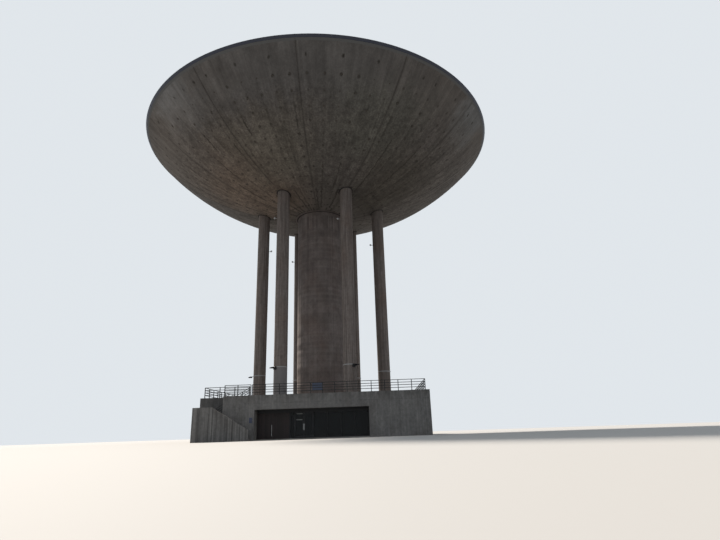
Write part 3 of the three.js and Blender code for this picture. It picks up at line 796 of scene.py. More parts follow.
# The black rings of painted shade at the tops of the columns and the shaft.
gap_rings = Shape()
for index in range(len(PLACES)):
    ring_under_bowl(gap_rings, column_place(index), COLUMN_RADIUS - RING_INTO,
                    COLUMN_RADIUS + RING_WIDTH, RING_PROUD)
ring_under_bowl(gap_rings, (0, 0), SHAFT_RADIUS, COLLAR[0], RING_PROUD, 2 * RING_STEPS)
gap_rings.piece("painted_gap_rings", painted_gap_shade)
collar = Shape()
ring_under_bowl(collar, (0, 0), *COLLAR, 2 * RING_PROUD, 2 * RING_STEPS)
collar.piece("shaft_collar", shaft_concrete)

# %% [markdown]
# Columns and shaft
#
# The columns were cast in narrow upright boards, in lifts of 3.7 metres. From afar the boards
# read as fine upright lines, and the joints between lifts as faint rings. Each column is a stack
# of loops with three points to a board: its two edges and the bottom of the groove beside it.
# The last loop follows the underside of the tank, so no gap shows.

# %% Model the columns in boards and lifts
LIFT = 3.704
FIRST_JOINT = 4.72
LIFT_JOINTS = 6
LIFT_JOINT_HALF = 0.02
LIFT_JOINT_CUT = 0.012
LIFT_JOINT_SHADE = 0.5
TONE_KEPT = 0.6
COLUMN_BOARDS = 48
GROOVE = 0.006
HALF_GROOVE = 0.004
BOARD_JITTER = 0.003
INTO_BOWL = 0.03
OTHER_FINISHES = {"front_left": coated_concrete, "left": paler_concrete}


def board_columns(count, half_groove):
    """Turns of three points to a board, which board each is on, and which is a groove."""
    step = 2 * math.pi / count
    turns = []
    for board in range(count):
        turns += [board * step + half_groove, (board + 1) * step - half_groove, (board + 1) * step]
    return np.array(turns), np.repeat(range(count), 3), np.tile([False, False, True], count)


def cast_column(shape, centre, chance):
    """A round post cast in upright boards, with a groove at each joint between lifts."""
    turns, owner, in_groove = board_columns(COLUMN_BOARDS, HALF_GROOVE / COLUMN_RADIUS)
    levels = [0.0]
    for i in range(LIFT_JOINTS):
        joint = FIRST_JOINT + LIFT * i
        levels += [joint - LIFT_JOINT_HALF, joint, joint + LIFT_JOINT_HALF]
    loops = []
    tones = []
    depth = draws(chance, COLUMN_BOARDS, -BOARD_JITTER, BOARD_JITTER)
    tone = draws(chance, COLUMN_BOARDS)
    for i, height in enumerate(levels):
        at_joint = i % 3 == 2
        spread = COLUMN_RADIUS + depth[owner] - GROOVE * in_groove - LIFT_JOINT_CUT * at_joint
        loops.append(round_loop(spread, height, turns, centre))
        shade = np.where(in_groove, GROOVE_BOARD, tone[owner])
        tones.append(shade * (LIFT_JOINT_SHADE if i % 3 else 1))
        if at_joint:
            depth = draws(chance, COLUMN_BOARDS, -BOARD_JITTER, BOARD_JITTER)
            tone = TONE_KEPT * tone + (1 - TONE_KEPT) * draws(chance, COLUMN_BOARDS)
    last = round_loop(COLUMN_RADIUS + depth[owner] - GROOVE * in_groove, 0, turns, centre)
    last[:, 2] = underside(np.hypot(last[:, 0], last[:, 1])) + INTO_BOWL
    shape.skin([*loops, last], boards=tones)


for index, place in enumerate(PLACES):
    column = Shape()
    cast_column(column, column_place(index), random.Random(20 + index))
    column.piece(
        f"column_cast_{place}", OTHER_FINISHES.get(place, column_concrete),
        stands_for=[f"column_{place}"], crease=20)

# %% [markdown]
# The shaft is smoother. Its boards show only near the top; lower down there are fine level marks,
# where the mould was raised 31 centimetres at a time. So its loops have the boards of the columns,
# wider and flatter, and a small step at every level mark. A smooth band closes it at the top.

# %% Model the shaft with its level marks
SHAFT_BOARDS = 110
SHAFT_HALF_GROOVE = 0.0012
SHAFT_JITTER = 0.002
MARK_STEP = 0.31
MARK_TALL = 0.012
MARK_SHADE = 0.35
MARKS_END = 24.5
BOARDS_FROM = MARKS_END + 0.2
COURSE_JITTER = 0.004
COURSE_SHADE = 0.22
COURSE_BOARDS = 0.3
COURSE_RELIEF = 0.5
UPPER_RELIEF = 3
BAND_START = 26.42
BAND_BOARD = 0.6
SHAFT_TOP = 37.7


def make_shaft():
    chance = random.Random(3)
    turns, owner, in_groove = board_columns(SHAFT_BOARDS, SHAFT_HALF_GROOVE)
    turns, owner = turns[~in_groove], owner[~in_groove]
    depth = draws(chance, SHAFT_BOARDS, -SHAFT_JITTER, SHAFT_JITTER)[owner]
    tone = draws(chance, SHAFT_BOARDS)[owner]
    loops = []
    tones = []
    for height in np.arange(0, MARKS_END, MARK_STEP):
        lift = chance.uniform(-COURSE_JITTER, COURSE_JITTER)
        shade = PLAIN_BOARD + (tone - PLAIN_BOARD) * COURSE_BOARDS
        shade = np.clip(shade + chance.uniform(-COURSE_SHADE, COURSE_SHADE), 0, 1)
        for edge in (height, height + MARK_STEP - MARK_TALL):
            loops.append(round_loop(SHAFT_RADIUS + lift + depth * COURSE_RELIEF, edge, turns))
        tones += [shade, shade * MARK_SHADE]
    upper = SHAFT_RADIUS + depth * UPPER_RELIEF
    for height, spread, shade in (
        (BOARDS_FROM, upper, tone), (BAND_START - 0.01, upper, tone),
        (BAND_START, SHAFT_RADIUS, tone * 0 + BAND_BOARD), (SHAFT_TOP, SHAFT_RADIUS, tone * 0),
    ):
        loops.append(round_loop(spread, height, turns))
        tones.append(shade)
    shaft = Shape()
    shaft.skin(loops, boards=tones)
    shaft.piece("shaft_cast", shaft_concrete, stands_for=["shaft"], crease=20)


make_shaft()

# %% [markdown]
# Edge band and roof
#
# A dark metal band closes the rim. It is made of sheets with a raised seam between each two, a
# folded drip edge at the bottom and a rounded upper edge. The roof is not seen in the photo. It
# is taken to be a low cone covered with felt in rays, each strip lapped over the next.

# %% Model the edge band in sheets
RIM_RADIUS = 22.0
RIM_TOP = 36.52
BAND_DEPTH = 0.35
SHEETS = 72
SEAM_PROUD = 0.014
FOLD = 0.012
DRIP = 0.025
# share of a sheet's width, and how far its metal stands out there
SHEET = ((0.0, 0), (0.004, SEAM_PROUD), (0.012, SEAM_PROUD), (0.016, 0), (0.35, 0), (0.68, 0))


def painted_metal(name, colour, worn, roughness, flake=0.25, shine=0.5):
    made = Finish(name, roughness, shine=shine)
    patches = made.noise(flake, 5, 0.6)
    made.colour(made.mixed(made.spread(patches, 0.5, 0.75, 0, 0.6), colour, worn))
    made.roughness(made.spread(patches, 0.3, 0.7, roughness - 0.08, roughness + 0.12))
    made.relief(made.noise(0.01, 2, 0.5), 0.0006)
    return made.material


edge_metal = painted_metal("edge_metal", (0.021, 0.026, 0.042), (0.031, 0.036, 0.050), 0.42, 1.5, 0.3)


def make_band():
    lower = SHELL_EDGE + FOLD
    plain = RIM_RADIUS - SEAM_PROUD
    behind = RIM_RADIUS - BAND_DEPTH
    loops = []
    for sheet in range(SHEETS):
        for share, out in SHEET:
            turn = (sheet + share) * (2 * math.pi / SHEETS)
            section = [
                (lower - 0.01, SHELL_TOP), (lower + out, SHELL_TOP),
                (lower + DRIP + out, SHELL_TOP + FOLD),
                (plain - 0.02 + out, RIM_TOP - 0.03), (plain + out, RIM_TOP - FOLD),
                (plain - FOLD + out, RIM_TOP), (behind, RIM_TOP - FOLD), (behind, SHELL_TOP),
            ]
            loops.append([around(radius, turn, height) for radius, height in section])
    band = Shape()
    band.skin(loops, ends_meet=True)
    band.piece("edge_sheets", edge_metal, stands_for=["edge_band"], crease=25)


make_band()

# %% Model the felt roof and its hatch
CROWN_RADIUS = 3.2
CROWN_TOP = 38.0
CROWN_SOFT = 0.15
ROOF_EDGE_TOP = 36.5
ROOF_SEAT = 0.33
FELT_STRIPS = 96
FELT_LAP = 0.012
# share of a strip's width, and how far its felt lies over the next
FELT = ((0.0, FELT_LAP), (0.06, FELT_LAP), (0.062, 0.0), (0.5, 0.0), (0.999, 0.0))
HATCH_RADIUS = 0.65
HATCH_TOP = 38.35
HATCH_SIDES = 48
KERB_RADIUS = HATCH_RADIUS - 0.05
FITTINGS_HALF = 0.16
HANDLE_Y = -0.45
HANDLE_RADIUS = 0.012
HINGE_Y = 0.62
HINGE_RADIUS = 0.018
HINGE_REACH = FITTINGS_HALF + 0.08


def make_felt():
    made = Finish("roof_felt", 0.9)
    clouds = made.noise(2.5, 4, 0.6)
    grit = made.noise(0.02, 3, 0.7)
    colour = made.mixed(made.spread(clouds, 0.35, 0.7), (0.085, 0.088, 0.09), (0.14, 0.137, 0.128))
    colour = made.shaded(colour, made.board(), 0, 1, 0.94, 1.06)
    made.colour(made.shaded(colour, grit, 0.3, 0.7, 0.8, 1.2))
    made.relief(grit, 0.003)
    return made.material


def make_roof():
    chance = random.Random(8)
    tones = np.repeat(draws(chance, FELT_STRIPS), len(FELT))
    turns = []
    lifts = []
    for strip in range(FELT_STRIPS):
        for share, lift in FELT:
            turns.append((strip + share) * (2 * math.pi / FELT_STRIPS))
            lifts.append(lift - FELT_LAP)
    lifts = np.array(lifts)
    seat = RIM_RADIUS - BAND_DEPTH - FIT
    roof = Shape()
    loops = [
        round_loop(CROWN_RADIUS, SHAFT_TOP, turns),
        round_loop(seat - ROOF_SEAT, SHELL_TOP, turns),
        round_loop(seat, SHELL_TOP, turns),
        round_loop(seat, ROOF_EDGE_TOP + lifts, turns),
        round_loop((seat + CROWN_RADIUS) / 2, (ROOF_EDGE_TOP + CROWN_TOP) / 2 + lifts, turns),
        round_loop(CROWN_RADIUS + CROWN_SOFT, CROWN_TOP - 0.02 + lifts, turns),
        round_loop(CROWN_RADIUS, CROWN_TOP + lifts, turns),
        round_loop(CROWN_RADIUS - CROWN_SOFT, CROWN_TOP, turns),
    ]
    roof.skin(loops, boards=[tones] * len(loops))
    roof.piece("felt_roof", roof_felt, stands_for=["tank_roof"], crease=8)


def make_hatch():
    turns = full_circle(HATCH_SIDES)
    hatch = Shape()
    kerb = (
        (HATCH_RADIUS, CROWN_TOP - 0.005), (KERB_RADIUS, CROWN_TOP + 0.02),
        (KERB_RADIUS, HATCH_TOP - 0.1),
    )
    lid = (
        (HATCH_RADIUS, HATCH_TOP - 0.13), (HATCH_RADIUS, HATCH_TOP - 0.06),
        (HATCH_RADIUS - 0.015, HATCH_TOP - 0.045), (0.2, HATCH_TOP - 0.02),
    )
    for turned in (kerb, lid):
        hatch.skin([round_loop(radius, height, turns) for radius, height in turned])
    for x in (-FITTINGS_HALF, FITTINGS_HALF):
        hatch.rod((x, HANDLE_Y, HATCH_TOP - 0.04), (x, HANDLE_Y, HATCH_TOP), HANDLE_RADIUS)
        hatch.block((x - 0.05, HINGE_Y - 0.06, CROWN_TOP + 0.2),
                    (x + 0.05, HINGE_Y + 0.025, HATCH_TOP - 0.03))
    reach, level = FITTINGS_HALF + HANDLE_RADIUS, HATCH_TOP - HANDLE_RADIUS
    hatch.rod((-reach, HANDLE_Y, level), (reach, HANDLE_Y, level), HANDLE_RADIUS)
    level = HATCH_TOP - 0.05
    hatch.rod((-HINGE_REACH, HINGE_Y, level), (HINGE_REACH, HINGE_Y, level), HINGE_RADIUS)
    hatch.piece("hatch_lid", edge_metal, stands_for=["roof_hatch"])


roof_felt = make_felt()
make_roof()
make_hatch()

# %% [markdown]
# Walls cast in boards
#
# The walls of the entrance building keep the marks of upright boards too. A wall is a row of
# closed loops, each one a cut through the wall at one place along it, so its top may slope down
# beside the stair. Its plan says whether it faces the front or a side, and face_low says which way
# is in. The stair's parapet has the strongest marks, and the wall beside the entrance the faintest.

# %% A wall in upright boards
WALL_BOARD = 0.11
WALL_DEPTH = 0.004
V_HALF = 0.004
WALL_JOINT_HALF = 0.012
WALL_JOINT_CUT = 0.01
WALL_CREASE = 12


def board_edges(start, end, board):
    """Places along a wall: its ends, and three points at the groove between two boards."""
    count = max(1, round((end - start) / board))
    places = [(start, 0, False)]
    for i in range(1, count):
        groove = start + (end - start) * i / count
        places += [(groove - V_HALF, i - 1, False), (groove, i - 1, True), (groove + V_HALF, i, False)]
    places.append((end, count - 1, False))
    return places, count


def boarded_run(shape, start, end, face, inner, top, plan, seed, joints=(), board=WALL_BOARD,
                depth=WALL_DEPTH):
    """One stretch of wall; top() gives its foot and its top at each place along it."""
    chance = random.Random(seed)
    places, count = board_edges(start, end, board)
    proud = draws(chance, count, 0, depth)
    tones = draws(chance, count)
    inward = 1 if inner > face else -1
    loops = []
    boards = []
    for where, owner, groove in places:
        low, high = top(where)
        levels = [low]
        for joint in joints:
            levels += [joint - WALL_JOINT_HALF, joint, joint + WALL_JOINT_HALF]
        levels.append(high)
        loop = []
        for i, height in enumerate(levels):
            into = depth + V_HALF if groove else depth - proud[owner]
            into += WALL_JOINT_CUT if i % 3 == 2 else 0
            loop.append(plan(where, face + inward * into, height))
        loop += [plan(where, inner, high), plan(where, inner, low)]
        loops.append(loop)
        boards.append([GROOVE_BOARD if groove else tones[owner]] * len(loop))
    shape.skin(loops, boards=boards)


def facing_front(along, across, height):
    return (along, across, height)


def facing_side(along, across, height):
    return (across, along, height)


def level_top(low, high):
    return lambda where: (low, high)


# %% Model the walls of the entrance building
CASTING_JOINT = 3.46


def plain_wall(node, name, seed, plan=facing_front, face_low=True, joints=()):
    """A wall from its solid's own corners; face_low: its outer face has the lower coordinate."""
    low, high = solid_box(node)
    along, across = (low.x, high.x), (low.y, high.y)
    if plan is facing_side:
        along, across = across, along
    face, inner = across if face_low else across[::-1]
    wall = Shape()
    boarded_run(wall, *along, face, inner, level_top(low.z, high.z), plan, seed, joints)
    wall.piece(name, wall_concrete, stands_for=[node], crease=WALL_CREASE)


plain_wall("front_band", "band_cast", 31, joints=(CASTING_JOINT,))
plain_wall("front_wall_right", "wall_cast_right", 32, joints=(CASTING_JOINT,))
plain_wall("side_wall_left", "side_cast_left", 33, facing_side)
plain_wall("side_wall_right", "side_cast_right", 34, facing_side, face_low=False)
plain_wall("back_wall", "back_cast", 35, face_low=False)
plain_wall("stair_end_wall", "stair_end_cast", 36, facing_side)

# %% Model the three walls of the stair
STAIR_TURN = -9.37
LANDING_TOP = 2.16
STEPS = 13
TREAD = 0.285
SLOPE = LANDING_TOP / STEPS / TREAD
PARAPET_CAST = {"board": 0.12, "depth": 0.012}
RISE_FROM = -8.74
SMOOTH_DEPTH = 0.002
STAIR_HEAD = -6.52
STAIR_HEAD_TOP = 3.7


def stair_wall(node, name, finish, bend, stretches):
    """A wall in two stretches, left and right of a bend; each has a top, a seed and its cast."""
    low, high = solid_box(node)
    wall = Shape()
    ends = (low.x, bend), (bend, high.x)
    for (start, end), (top, seed, cast) in zip(ends, stretches):
        boarded_run(wall, start, end, low.y, high.y, top, facing_front, seed, **cast)
    wall.piece(name, finish, stands_for=[node], crease=WALL_CREASE)


def parapet_top(where):
    low, high = solid_box("stair_parapet")
    return low.z, high.z - max(0.0, where - STAIR_TURN) * SLOPE


stair_wall("stair_parapet", "stair_parapet_cast", board_marked, STAIR_TURN, (
    (parapet_top, 37, PARAPET_CAST),
    (parapet_top, 38, PARAPET_CAST),
))
stair_wall("front_wall_left", "wall_cast_left", wall_concrete, RISE_FROM, (
    (level_top(0, LANDING_TOP), 39, {}),
    (level_top(0, PARAPET_TOP), 40, {"joints": (CASTING_JOINT,), "depth": SMOOTH_DEPTH}),
))
# The wall behind the stair takes the darker copy of the wall concrete, as painted shade.
stair_wall("stair_back_wall", "stair_back_cast", painted_shade_wall, STAIR_HEAD, (
    (level_top(0, PARAPET_TOP), 41, {}),
    (level_top(0, STAIR_HEAD_TOP), 42, {}),
))

# %% [markdown]
# Solids that keep their shape
#
# Slabs, flights and frames are right as they are. They only need what a sharp solid lacks: a
# small bevel that catches light, and a finish. A bevel modifier adds the edge without touching
# the mesh.

# %% Dress the slabs, flights and cheeks
BEVEL_FROM = math.radians(30)


def keep(nodes, finish, bevel):
    """Gives solids their finish and a soft edge."""
    for node in nodes:
        solid = frame["nodes"][node]
        for slot in solid.material_slots:
            slot.material = finish
        edge = solid.modifiers.new("soft_edge", "BEVEL")
        edge.width = bevel * SCALE
        edge.segments = 2
        edge.limit_method = "ANGLE"
        edge.angle_limit = BEVEL_FROM


keep(("terrace_slab", "floor_slab", "lower_flight", "upper_flight", "stair_landing"),
     slab_concrete, 0.008)
keep(("recess_cheek_left", "recess_cheek_right", "recess_soffit"), smooth_concrete, 0.006)

# %% [markdown]
# Steel frames and glass
#
# The screen at the back of the recess is dark painted steel with dark glass. Painted steel is
# nearly one colour, so its life comes from the soft change in its gloss. The glass is clear in
# Blender's sense, with a dark tint, and lets the unlit room behind it read as black.

# %% Dress the screen and the glass
STEEL_BEVEL = 0.003
GLASS_BEVEL = 0.001
GLASS_IOR = 1.2
SEE_THROUGH = 0.7


def tinted_glass():
    made = Finish("dark_glass", 0.04)
    made.colour((0.03, 0.034, 0.036))
    made.shader.inputs["Transmission Weight"].default_value = SEE_THROUGH
    made.shader.inputs["IOR"].default_value = GLASS_IOR
    film = made.noise((0.4, 0.4, 1.2), 4, 0.6)
    made.roughness(made.spread(film, 0.35, 0.75, 0.03, 0.14))
    return made.material


dark_steel = painted_metal(
    "dark_steel", (0.012, 0.013, 0.015), (0.020, 0.019, 0.018), 0.5, shine=0.25)
keep(("screen_head", "sidelight_frame", "glazing_frame", "entrance_door_left", "entrance_door_right"),
     dark_steel, STEEL_BEVEL)
keep(("sidelight_glass", "fixed_glass", "entrance_glass_left", "entrance_glass_right"),
     tinted_glass(), GLASS_BEVEL)

# %% Add the frosted strips to the left glazed leaf
STRIPS = ((1.79, 1.89), (2.37, 2.44))
STRIP_INSET = 0.06
STRIP_PROUD = 0.002
STRIP_INTO = 0.001


def frosted(name, roughness, size, rough, dark, pale):
    made = Finish(name, roughness)
    frost = made.noise(size, 3, rough)
    made.colour(made.mixed(made.spread(frost, 0.3, 0.7), dark, pale))
    return made.material


frosted_film = frosted("frosted_film", 0.6, 0.03, 0.6, (0.10, 0.105, 0.10), (0.15, 0.155, 0.15))
low, high = solid_box("entrance_glass_left")
film = Shape()
for bottom, top in STRIPS:
    film.block((low.x + STRIP_INSET, low.y - STRIP_PROUD, bottom),
               (high.x - STRIP_INSET, low.y + STRIP_INTO, top), 0.0005)
film.piece("frosted_strips", frosted_film, "entrance_leaf_left")

# %% [markdown]
# Boarded doors
#
# The wide doors left of the glass are faced with upright boards, stained dark. Each leaf is a
# short wall in boards, as above, with a round hinge edge and three steel hinge straps. Everything
# on a leaf rides on that leaf's body, so that it swings with it.

# %% Model the boarded leaves
LEAF_BOARD = 0.134
LEAF_CLEAR = 0.012
FACING = 0.06
FOOT_CLEAR = 0.01
EDGE_RADIUS = 0.015
STRAP_LEVELS = (0.45, 1.3, 2.2)
STRAP_SPAN = (0.03, 0.42)
STRAP_TALL = 0.05
STRAP_PROUD = 0.008
SCREW_SHARES = (0.25, 0.6, 0.9)
SCREW_RADIUS = 0.008
SCREW_PROUD = 0.012


def stained_boards():
    made = Finish("stained_boards", 0.55, shine=0.3)
    grain = made.noise((0.012, 0.012, 0.6), 4, 0.6)
    colour = made.mixed(made.spread(grain, 0.35, 0.65), (0.010, 0.007, 0.007), (0.021, 0.014, 0.014))
    made.colour(made.shaded(colour, made.board(), 0, 1, 0.7, 1.35))
    made.roughness(made.spread(grain, 0.3, 0.7, 0.45, 0.7))
    made.relief(grain, 0.0015)
    return made.material


def boarded_leaf(side, hinge, free, seed):
    low, high = solid_box(f"boarded_door_{side}")
    front = high.y - FACING
    leaf = Shape()
    boarded_run(leaf, *sorted((hinge, free)), front, high.y, level_top(low.z + FOOT_CLEAR, high.z),
                facing_front, seed, board=LEAF_BOARD)
    leaf.rod((hinge, front, low.z), (hinge, front, high.z), EDGE_RADIUS, 16)
    leaf.piece(f"boarded_leaf_face_{side}", door_boards, f"boarded_leaf_{side}",
               [f"boarded_door_{side}"], crease=WALL_CREASE)
    towards = 1 if free > hinge else -1
    left, right = sorted(hinge + towards * reach for reach in STRAP_SPAN)
    straps = Shape()
    for foot in STRAP_LEVELS:
        straps.block((left, front - STRAP_PROUD, foot), (right, front + 0.002, foot + STRAP_TALL), 0.002)
        for share in SCREW_SHARES:
            x, level = left + (right - left) * share, foot + STRAP_TALL / 2
            straps.rod((x, front - SCREW_PROUD, level), (x, front - 0.004, level), SCREW_RADIUS, 6)
    straps.piece(f"hinge_straps_{side}", dark_steel, f"boarded_leaf_{side}")


door_boards = stained_boards()
hinges = {joint["name"]: joint["pos_m"][0] / SCALE for joint in frame["joints"]}
left_hinge, right_hinge = hinges["boarded_hinge_left"], hinges["boarded_hinge_right"]
leaf_width = (right_hinge - left_hinge - LEAF_CLEAR) / 2
boarded_leaf("left", left_hinge, left_hinge + leaf_width, 51)
boarded_leaf("right", right_hinge, right_hinge - leaf_width, 52)

# %% [markdown]
# Pulls
#
# A pull is a bright bar on two arms. The bars are turned a little finer than their solids, with
# round feet where the arms meet the door.

# %% Model the pulls
ARM_INSET = 0.12
ARM_RADIUS = 0.011
ROSE_THICK = 0.006
ROSE_RADIUS = 0.024


def brushed_steel():
    made = Finish("brushed_steel", 0.3, 1.0)
    lines = made.noise((0.4, 0.4, 0.002), 3, 0.5)
    made.colour(made.mixed(made.spread(lines, 0.3, 0.7), (0.42, 0.43, 0.44), (0.58, 0.59, 0.6)))
    made.roughness(made.spread(lines, 0.3, 0.7, 0.22, 0.4))
    return made.material


def pull(node, name, body):
    low, high = solid_box(node)
    radius = (high.x - low.x) / 2
    x = (low.x + high.x) / 2
    y = low.y + radius
    bar = Shape()
    bar.rod((x, y, low.z), (x, y, high.z), radius, 24, 0.004)
    for height in (low.z + ARM_INSET, high.z - ARM_INSET):
        bar.rod((x, y, height), (x, high.y, height), ARM_RADIUS, 16)
        bar.rod((x, high.y - ROSE_THICK, height), (x, high.y, height), ROSE_RADIUS, 24)
    bar.piece(name, pull_steel, body, [node])


pull_steel = brushed_steel()
pull("boarded_door_pull", "long_pull", "boarded_leaf_left")
pull("entrance_pull_left", "short_pull_left", "entrance_leaf_left")
pull("entrance_pull_right", "short_pull_right", "entrance_leaf_right")

# %% [markdown]
# Railings
#
# The railings are dark steel posts with four flat rails. Their solids already have the right
# bars. What is missing is how they stand: a plate with four bolts under every post. The feet are
# found in the mesh itself, as the corners that lie at the foot's level.

# %% Dress the railings and bolt down their posts
POST_REACH = 0.075
ON_LEVEL = 0.002
SAME_FOOT = 0.02
PLATE_HALF = 0.07
PLATE_THICK = 0.012
BOLT_PLACE = 0.05
BOLT_RADIUS = 0.011
BOLT_TALL = 0.014
TERRACE_TOP = 4.0
FOOT_LEVELS = (TERRACE_TOP, PARAPET_TOP)
RAILINGS = ("railing_front", "railing_stair", "railing_left", "railing_right", "railing_back")


def feet(node):
    """The middle of each post's foot, from the corners of its solid at a floor or parapet top."""
    corners = [v.co / SCALE for v in frame["nodes"][node].data.vertices]
    found = []
    for level in FOOT_LEVELS:
        at_level = [c for c in corners if abs(c.z - level) < ON_LEVEL]
        for corner in at_level:
            near = [
                c for c in at_level
                if max(abs(c.x - corner.x), abs(c.y - corner.y)) < POST_REACH
            ]
            middle = sum(near, Vector()) / len(near)
            if all((middle - other).length > SAME_FOOT for other in found):
                found.append(middle)
    return found


def bolted_plate(shape, foot):
    x, y, z = foot
    top = z + PLATE_THICK
    shape.block((x - PLATE_HALF, y - PLATE_HALF, z), (x + PLATE_HALF, y + PLATE_HALF, top))
    for dx in (-BOLT_PLACE, BOLT_PLACE):
        for dy in (-BOLT_PLACE, BOLT_PLACE):
            shape.rod((x + dx, y + dy, top), (x + dx, y + dy, top + BOLT_TALL), BOLT_RADIUS, 6)


keep((*RAILINGS, "stair_handrail"), dark_steel, STEEL_BEVEL)
for node in RAILINGS:
    plates = Shape()
    standing = feet(node)
    for foot in standing:
        bolted_plate(plates, foot)
    print(node, "stands on", len(standing), "posts")
    plates.piece(f"{node}_plates", dark_steel)

# %% [markdown]
# Lamps
#
# Three columns carry a lamp on a steel strap above the terrace, and small floodlights sit high
# on the columns, under the tank. A strap is a thin ring with a bolted lug. The lamp hangs from a
# short arm: a dark head with a flat underside that gets thinner away from the column, and a lens
# below. The two in front are turned outwards and have a junction box beside them. The other three
# columns have the strap alone.
#
# Everything on a column is easiest to place by how far it is from the column's middle, how far
# sideways and how high. A small function turns those three into a point.

# %% Model the strap lamps
LAMP_TURNS = {"left": 180, "front_left": 225, "front_right": 315}
BOX_TURNS = {"front_left": 233, "front_right": 307}
BARE_STRAPS = {"back_left": 180, "back_right": 0, "right": 0}
BARE_LEVEL = 7.13
STRAP_HEIGHT = 0.09
STRAP_OUTER = COLUMN_RADIUS + 0.011
STRAP_INNER = COLUMN_RADIUS - 0.004
STRAP_STEPS = 64
LUG_REACH = COLUMN_RADIUS + 0.05
LUG_HALF = 0.04
BOLT_REACH = COLUMN_RADIUS + 0.03
BOLT_HALF = 0.055
HEAD_NEAR = 0.89
HEAD_FAR = 1.305
ARM_INTO_HEAD = 0.12
ARM_THICK = 0.022
# share of the way from the far end, height and half width
HEAD_SHAPE = (
    (0, 0.07, 0.115), (0.05, 0.09, 0.13), (0.5, 0.15, 0.13), (0.95, 0.15, 0.125), (1, 0.11, 0.1),
)
LENS_SPAN = (HEAD_FAR - 0.28, HEAD_FAR - 0.04)
LENS_HALF = 0.1
BOX_REACH = COLUMN_RADIUS + 0.17
BOX_HALF = 0.16
BOX_SPAN = (-0.23, 0.07)
LID_THICK = 0.012
LID_INSET = 0.02
GLAND_REACH = BOX_REACH - 0.09
GLAND_SPAN = (-0.3, -0.225)

lamp_lens = frosted("lamp_lens", 0.25, 0.05, 0.5, (0.03, 0.031, 0.032), (0.05, 0.05, 0.049))
lamp_paint = painted_metal("lamp_paint", (0.007, 0.007, 0.009), (0.012, 0.012, 0.013), 0.8, shine=0.05)
strap_steel = painted_metal("strap_steel", (0.20, 0.205, 0.21), (0.28, 0.28, 0.27), 0.4)


def beside_column(place, azimuth):
    """Gives points by their distance from a column's middle, sideways and up."""
    x, y = column_place(PLACES.index(place))
    out = Vector(around(1, math.radians(azimuth)))
    side = Vector((-out.y, out.x, 0))
    return lambda reach, across, height: Vector((x, y, height)) + out * reach + side * across


def soft_section(half, bottom, top, soft):
    """The eight corners of a rectangle with its corners cut."""
    return [
        (soft - half, bottom), (half - soft, bottom), (half, bottom + soft), (half, top - soft),
        (half - soft, top), (soft - half, top), (-half, top - soft), (-half, bottom + soft),
    ]


def bar(shape, at, near, far, half, bottom, top, soft=0.006):
    """A block that points away from a column."""
    loops = []
    for reach, inset in ((near, soft), (near + soft, 0), (far - soft, 0), (far, soft)):
        section = soft_section(half - inset, bottom + inset, top - inset, soft)
        loops.append([at(reach, across, height) for across, height in section])
    shape.skin(loops)


def steel_strap(place, azimuth, under, stands_for=()):
    """A ring round a column with a bolted lug at one azimuth."""
    centre = column_place(PLACES.index(place))
    at = beside_column(place, azimuth)
    top = under + STRAP_HEIGHT
    section = (STRAP_INNER, under), (STRAP_OUTER, under), (STRAP_OUTER, top), (STRAP_INNER, top)
    strap = Shape()
    strap.skin([
        [around(radius, turn, height, centre) for radius, height in section]
        for turn in full_circle(STRAP_STEPS)
    ], ends_meet=True)
    bar(strap, at, STRAP_INNER, LUG_REACH, LUG_HALF, under, top)
    strap.rod(at(BOLT_REACH, -BOLT_HALF, top - 0.03), at(BOLT_REACH, BOLT_HALF, top - 0.03), 0.008, 6)
    strap.piece(f"strap_{place}", strap_steel, stands_for=stands_for)


def strap_lamp(place, azimuth):
    node = f"strap_lamp_{place}"
    low, high = solid_box(node)
    under = high.z - STRAP_HEIGHT
    at = beside_column(place, azimuth)
    steel_strap(place, azimuth, under, [node])
    head = Shape()
    arm = under + 0.02
    head.rod(at(COLUMN_RADIUS, 0, arm), at(HEAD_NEAR + ARM_INTO_HEAD, 0, arm), ARM_THICK, 16)
    loops = []
    for share, tall, half in HEAD_SHAPE:
        reach = HEAD_FAR + (HEAD_NEAR - HEAD_FAR) * share
        section = soft_section(half, low.z, low.z + tall, 0.015)
        loops.append([at(reach, across, height) for across, height in section])
    head.skin(loops)
    head.piece(f"lamp_head_{place}", lamp_paint)
    lens = Shape()
    bar(lens, at, *LENS_SPAN, LENS_HALF, low.z - 0.006, low.z + 0.01, 0.003)
    lens.piece(f"lamp_lens_{place}", lamp_lens)


def wire_box(place, azimuth):
    level = solid_box(f"strap_lamp_{place}")[1].z - STRAP_HEIGHT
    bottom, top = (level + end for end in BOX_SPAN)
    at = beside_column(place, azimuth)
    box = Shape()
    bar(box, at, COLUMN_RADIUS - 0.02, BOX_REACH, BOX_HALF, bottom, top, 0.01)
    bar(box, at, BOX_REACH, BOX_REACH + LID_THICK, BOX_HALF - LID_INSET, bottom + LID_INSET,
        top - LID_INSET, 0.004)
    box.rod(*(at(GLAND_REACH, 0, level + end) for end in GLAND_SPAN), 0.018)
    box.piece(f"wire_box_{place}", dark_steel)


for place, azimuth in LAMP_TURNS.items():
    strap_lamp(place, azimuth)
for place, azimuth in BOX_TURNS.items():
    wire_box(place, azimuth)
for place, azimuth in BARE_STRAPS.items():
    steel_strap(place, azimuth, BARE_LEVEL)

# %% Model the small floodlights under the tank
# the azimuth of the side of its column where each sits, and its height
FLOODLIGHTS = {
    "left": (0, 22.9), "front_left": (180, 24.6), "front_right": (180, 24.2),
    "right": (180, 23.2), "back_left": (180, 23.6),
}
BRACKET_TIP = COLUMN_RADIUS + 0.2
YOKE_HALF = 0.13
BARREL_LONG = 0.16
BARREL_RISE = (-0.02, 0.1)


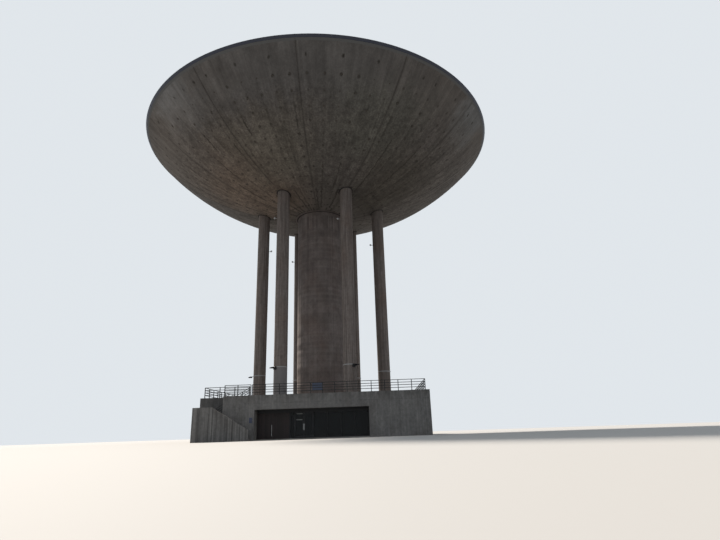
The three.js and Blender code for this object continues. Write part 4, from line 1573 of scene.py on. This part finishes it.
def floodlight(place, azimuth, height):
    """A small lamp on a bracket: base, arm, yoke and tilted barrel."""
    at = beside_column(place, azimuth)
    lamp = Shape()
    lamp.rod(at(COLUMN_RADIUS - 0.01, 0, height), at(COLUMN_RADIUS + 0.02, 0, height), 0.07, 16)
    lamp.rod(at(COLUMN_RADIUS, 0, height), at(BRACKET_TIP, 0, height), 0.018)
    lamp.rod(at(BRACKET_TIP, -YOKE_HALF, height), at(BRACKET_TIP, YOKE_HALF, height), 0.014)
    lamp.rod(at(BRACKET_TIP, 0, height + BARREL_RISE[0]),
             at(BRACKET_TIP + BARREL_LONG, 0, height + BARREL_RISE[1]), 0.1, 20, 0.015)
    lamp.piece(f"floodlight_{place}", strap_steel)


for place, (azimuth, height) in FLOODLIGHTS.items():
    floodlight(place, azimuth, height)

# %% [markdown]
# The board and the plate
#
# A dark blue board hangs behind the front railing. It is left bare, with a folded frame. A smaller
# plate of the same blue stands off the wall beside the entrance on four studs, bare as well.

# %% Model the board
PANEL_INSET = 0.02
PANEL_BACK = 0.006
FOLDED_EDGE = 0.03

board_paint = painted_metal("board_paint", (0.016, 0.028, 0.062), (0.026, 0.038, 0.072), 0.4)
low, high = solid_box("notice_board")
board = Shape()
board.block((low.x + PANEL_INSET, low.y + PANEL_BACK, low.z + PANEL_INSET),
            (high.x - PANEL_INSET, high.y - PANEL_BACK, high.z - PANEL_INSET))
for bottom, top in ((low.z, low.z + FOLDED_EDGE), (high.z - FOLDED_EDGE, high.z)):
    board.block((low.x, low.y, bottom), (high.x, high.y, top))
for left, right in ((low.x, low.x + FOLDED_EDGE), (high.x - FOLDED_EDGE, high.x)):
    board.block((left, low.y, low.z), (right, high.y, high.z))
board.piece("blue_board", board_paint, stands_for=["notice_board"])

# %% Model the plate beside the entrance
WALL_PLATE_MIDDLE = (-5.93, 1.89)
WALL_PLATE_HALF = (0.15, 0.25)
WALL_PLATE_THICK = 0.006
WALL_PLATE_CHAMFER = 0.002
STAND_OFF = 0.015
STUD_INSET = 0.03
STUD_RADIUS = 0.008
STUD_INTO_WALL = 0.002
STUD_PROUD = 0.003

plate_paint = painted_metal("plate_paint", (0.024, 0.032, 0.068), (0.033, 0.040, 0.076), 0.4)
wall_face = solid_box("front_wall_left")[0].y
back = wall_face - STAND_OFF
front = back - WALL_PLATE_THICK
(x, z), (wide, tall) = WALL_PLATE_MIDDLE, WALL_PLATE_HALF
plate = Shape()
plate.block((x - wide, front, z - tall), (x + wide, back, z + tall), WALL_PLATE_CHAMFER)
for stud_x in (x - wide + STUD_INSET, x + wide - STUD_INSET):
    for stud_z in (z - tall + STUD_INSET, z + tall - STUD_INSET):
        plate.rod((stud_x, wall_face + STUD_INTO_WALL, stud_z),
                  (stud_x, front - STUD_PROUD, stud_z), STUD_RADIUS)
plate.piece("wall_plate", plate_paint)
print("the plate hangs in front of the wall at y =", round(wall_face, 3))
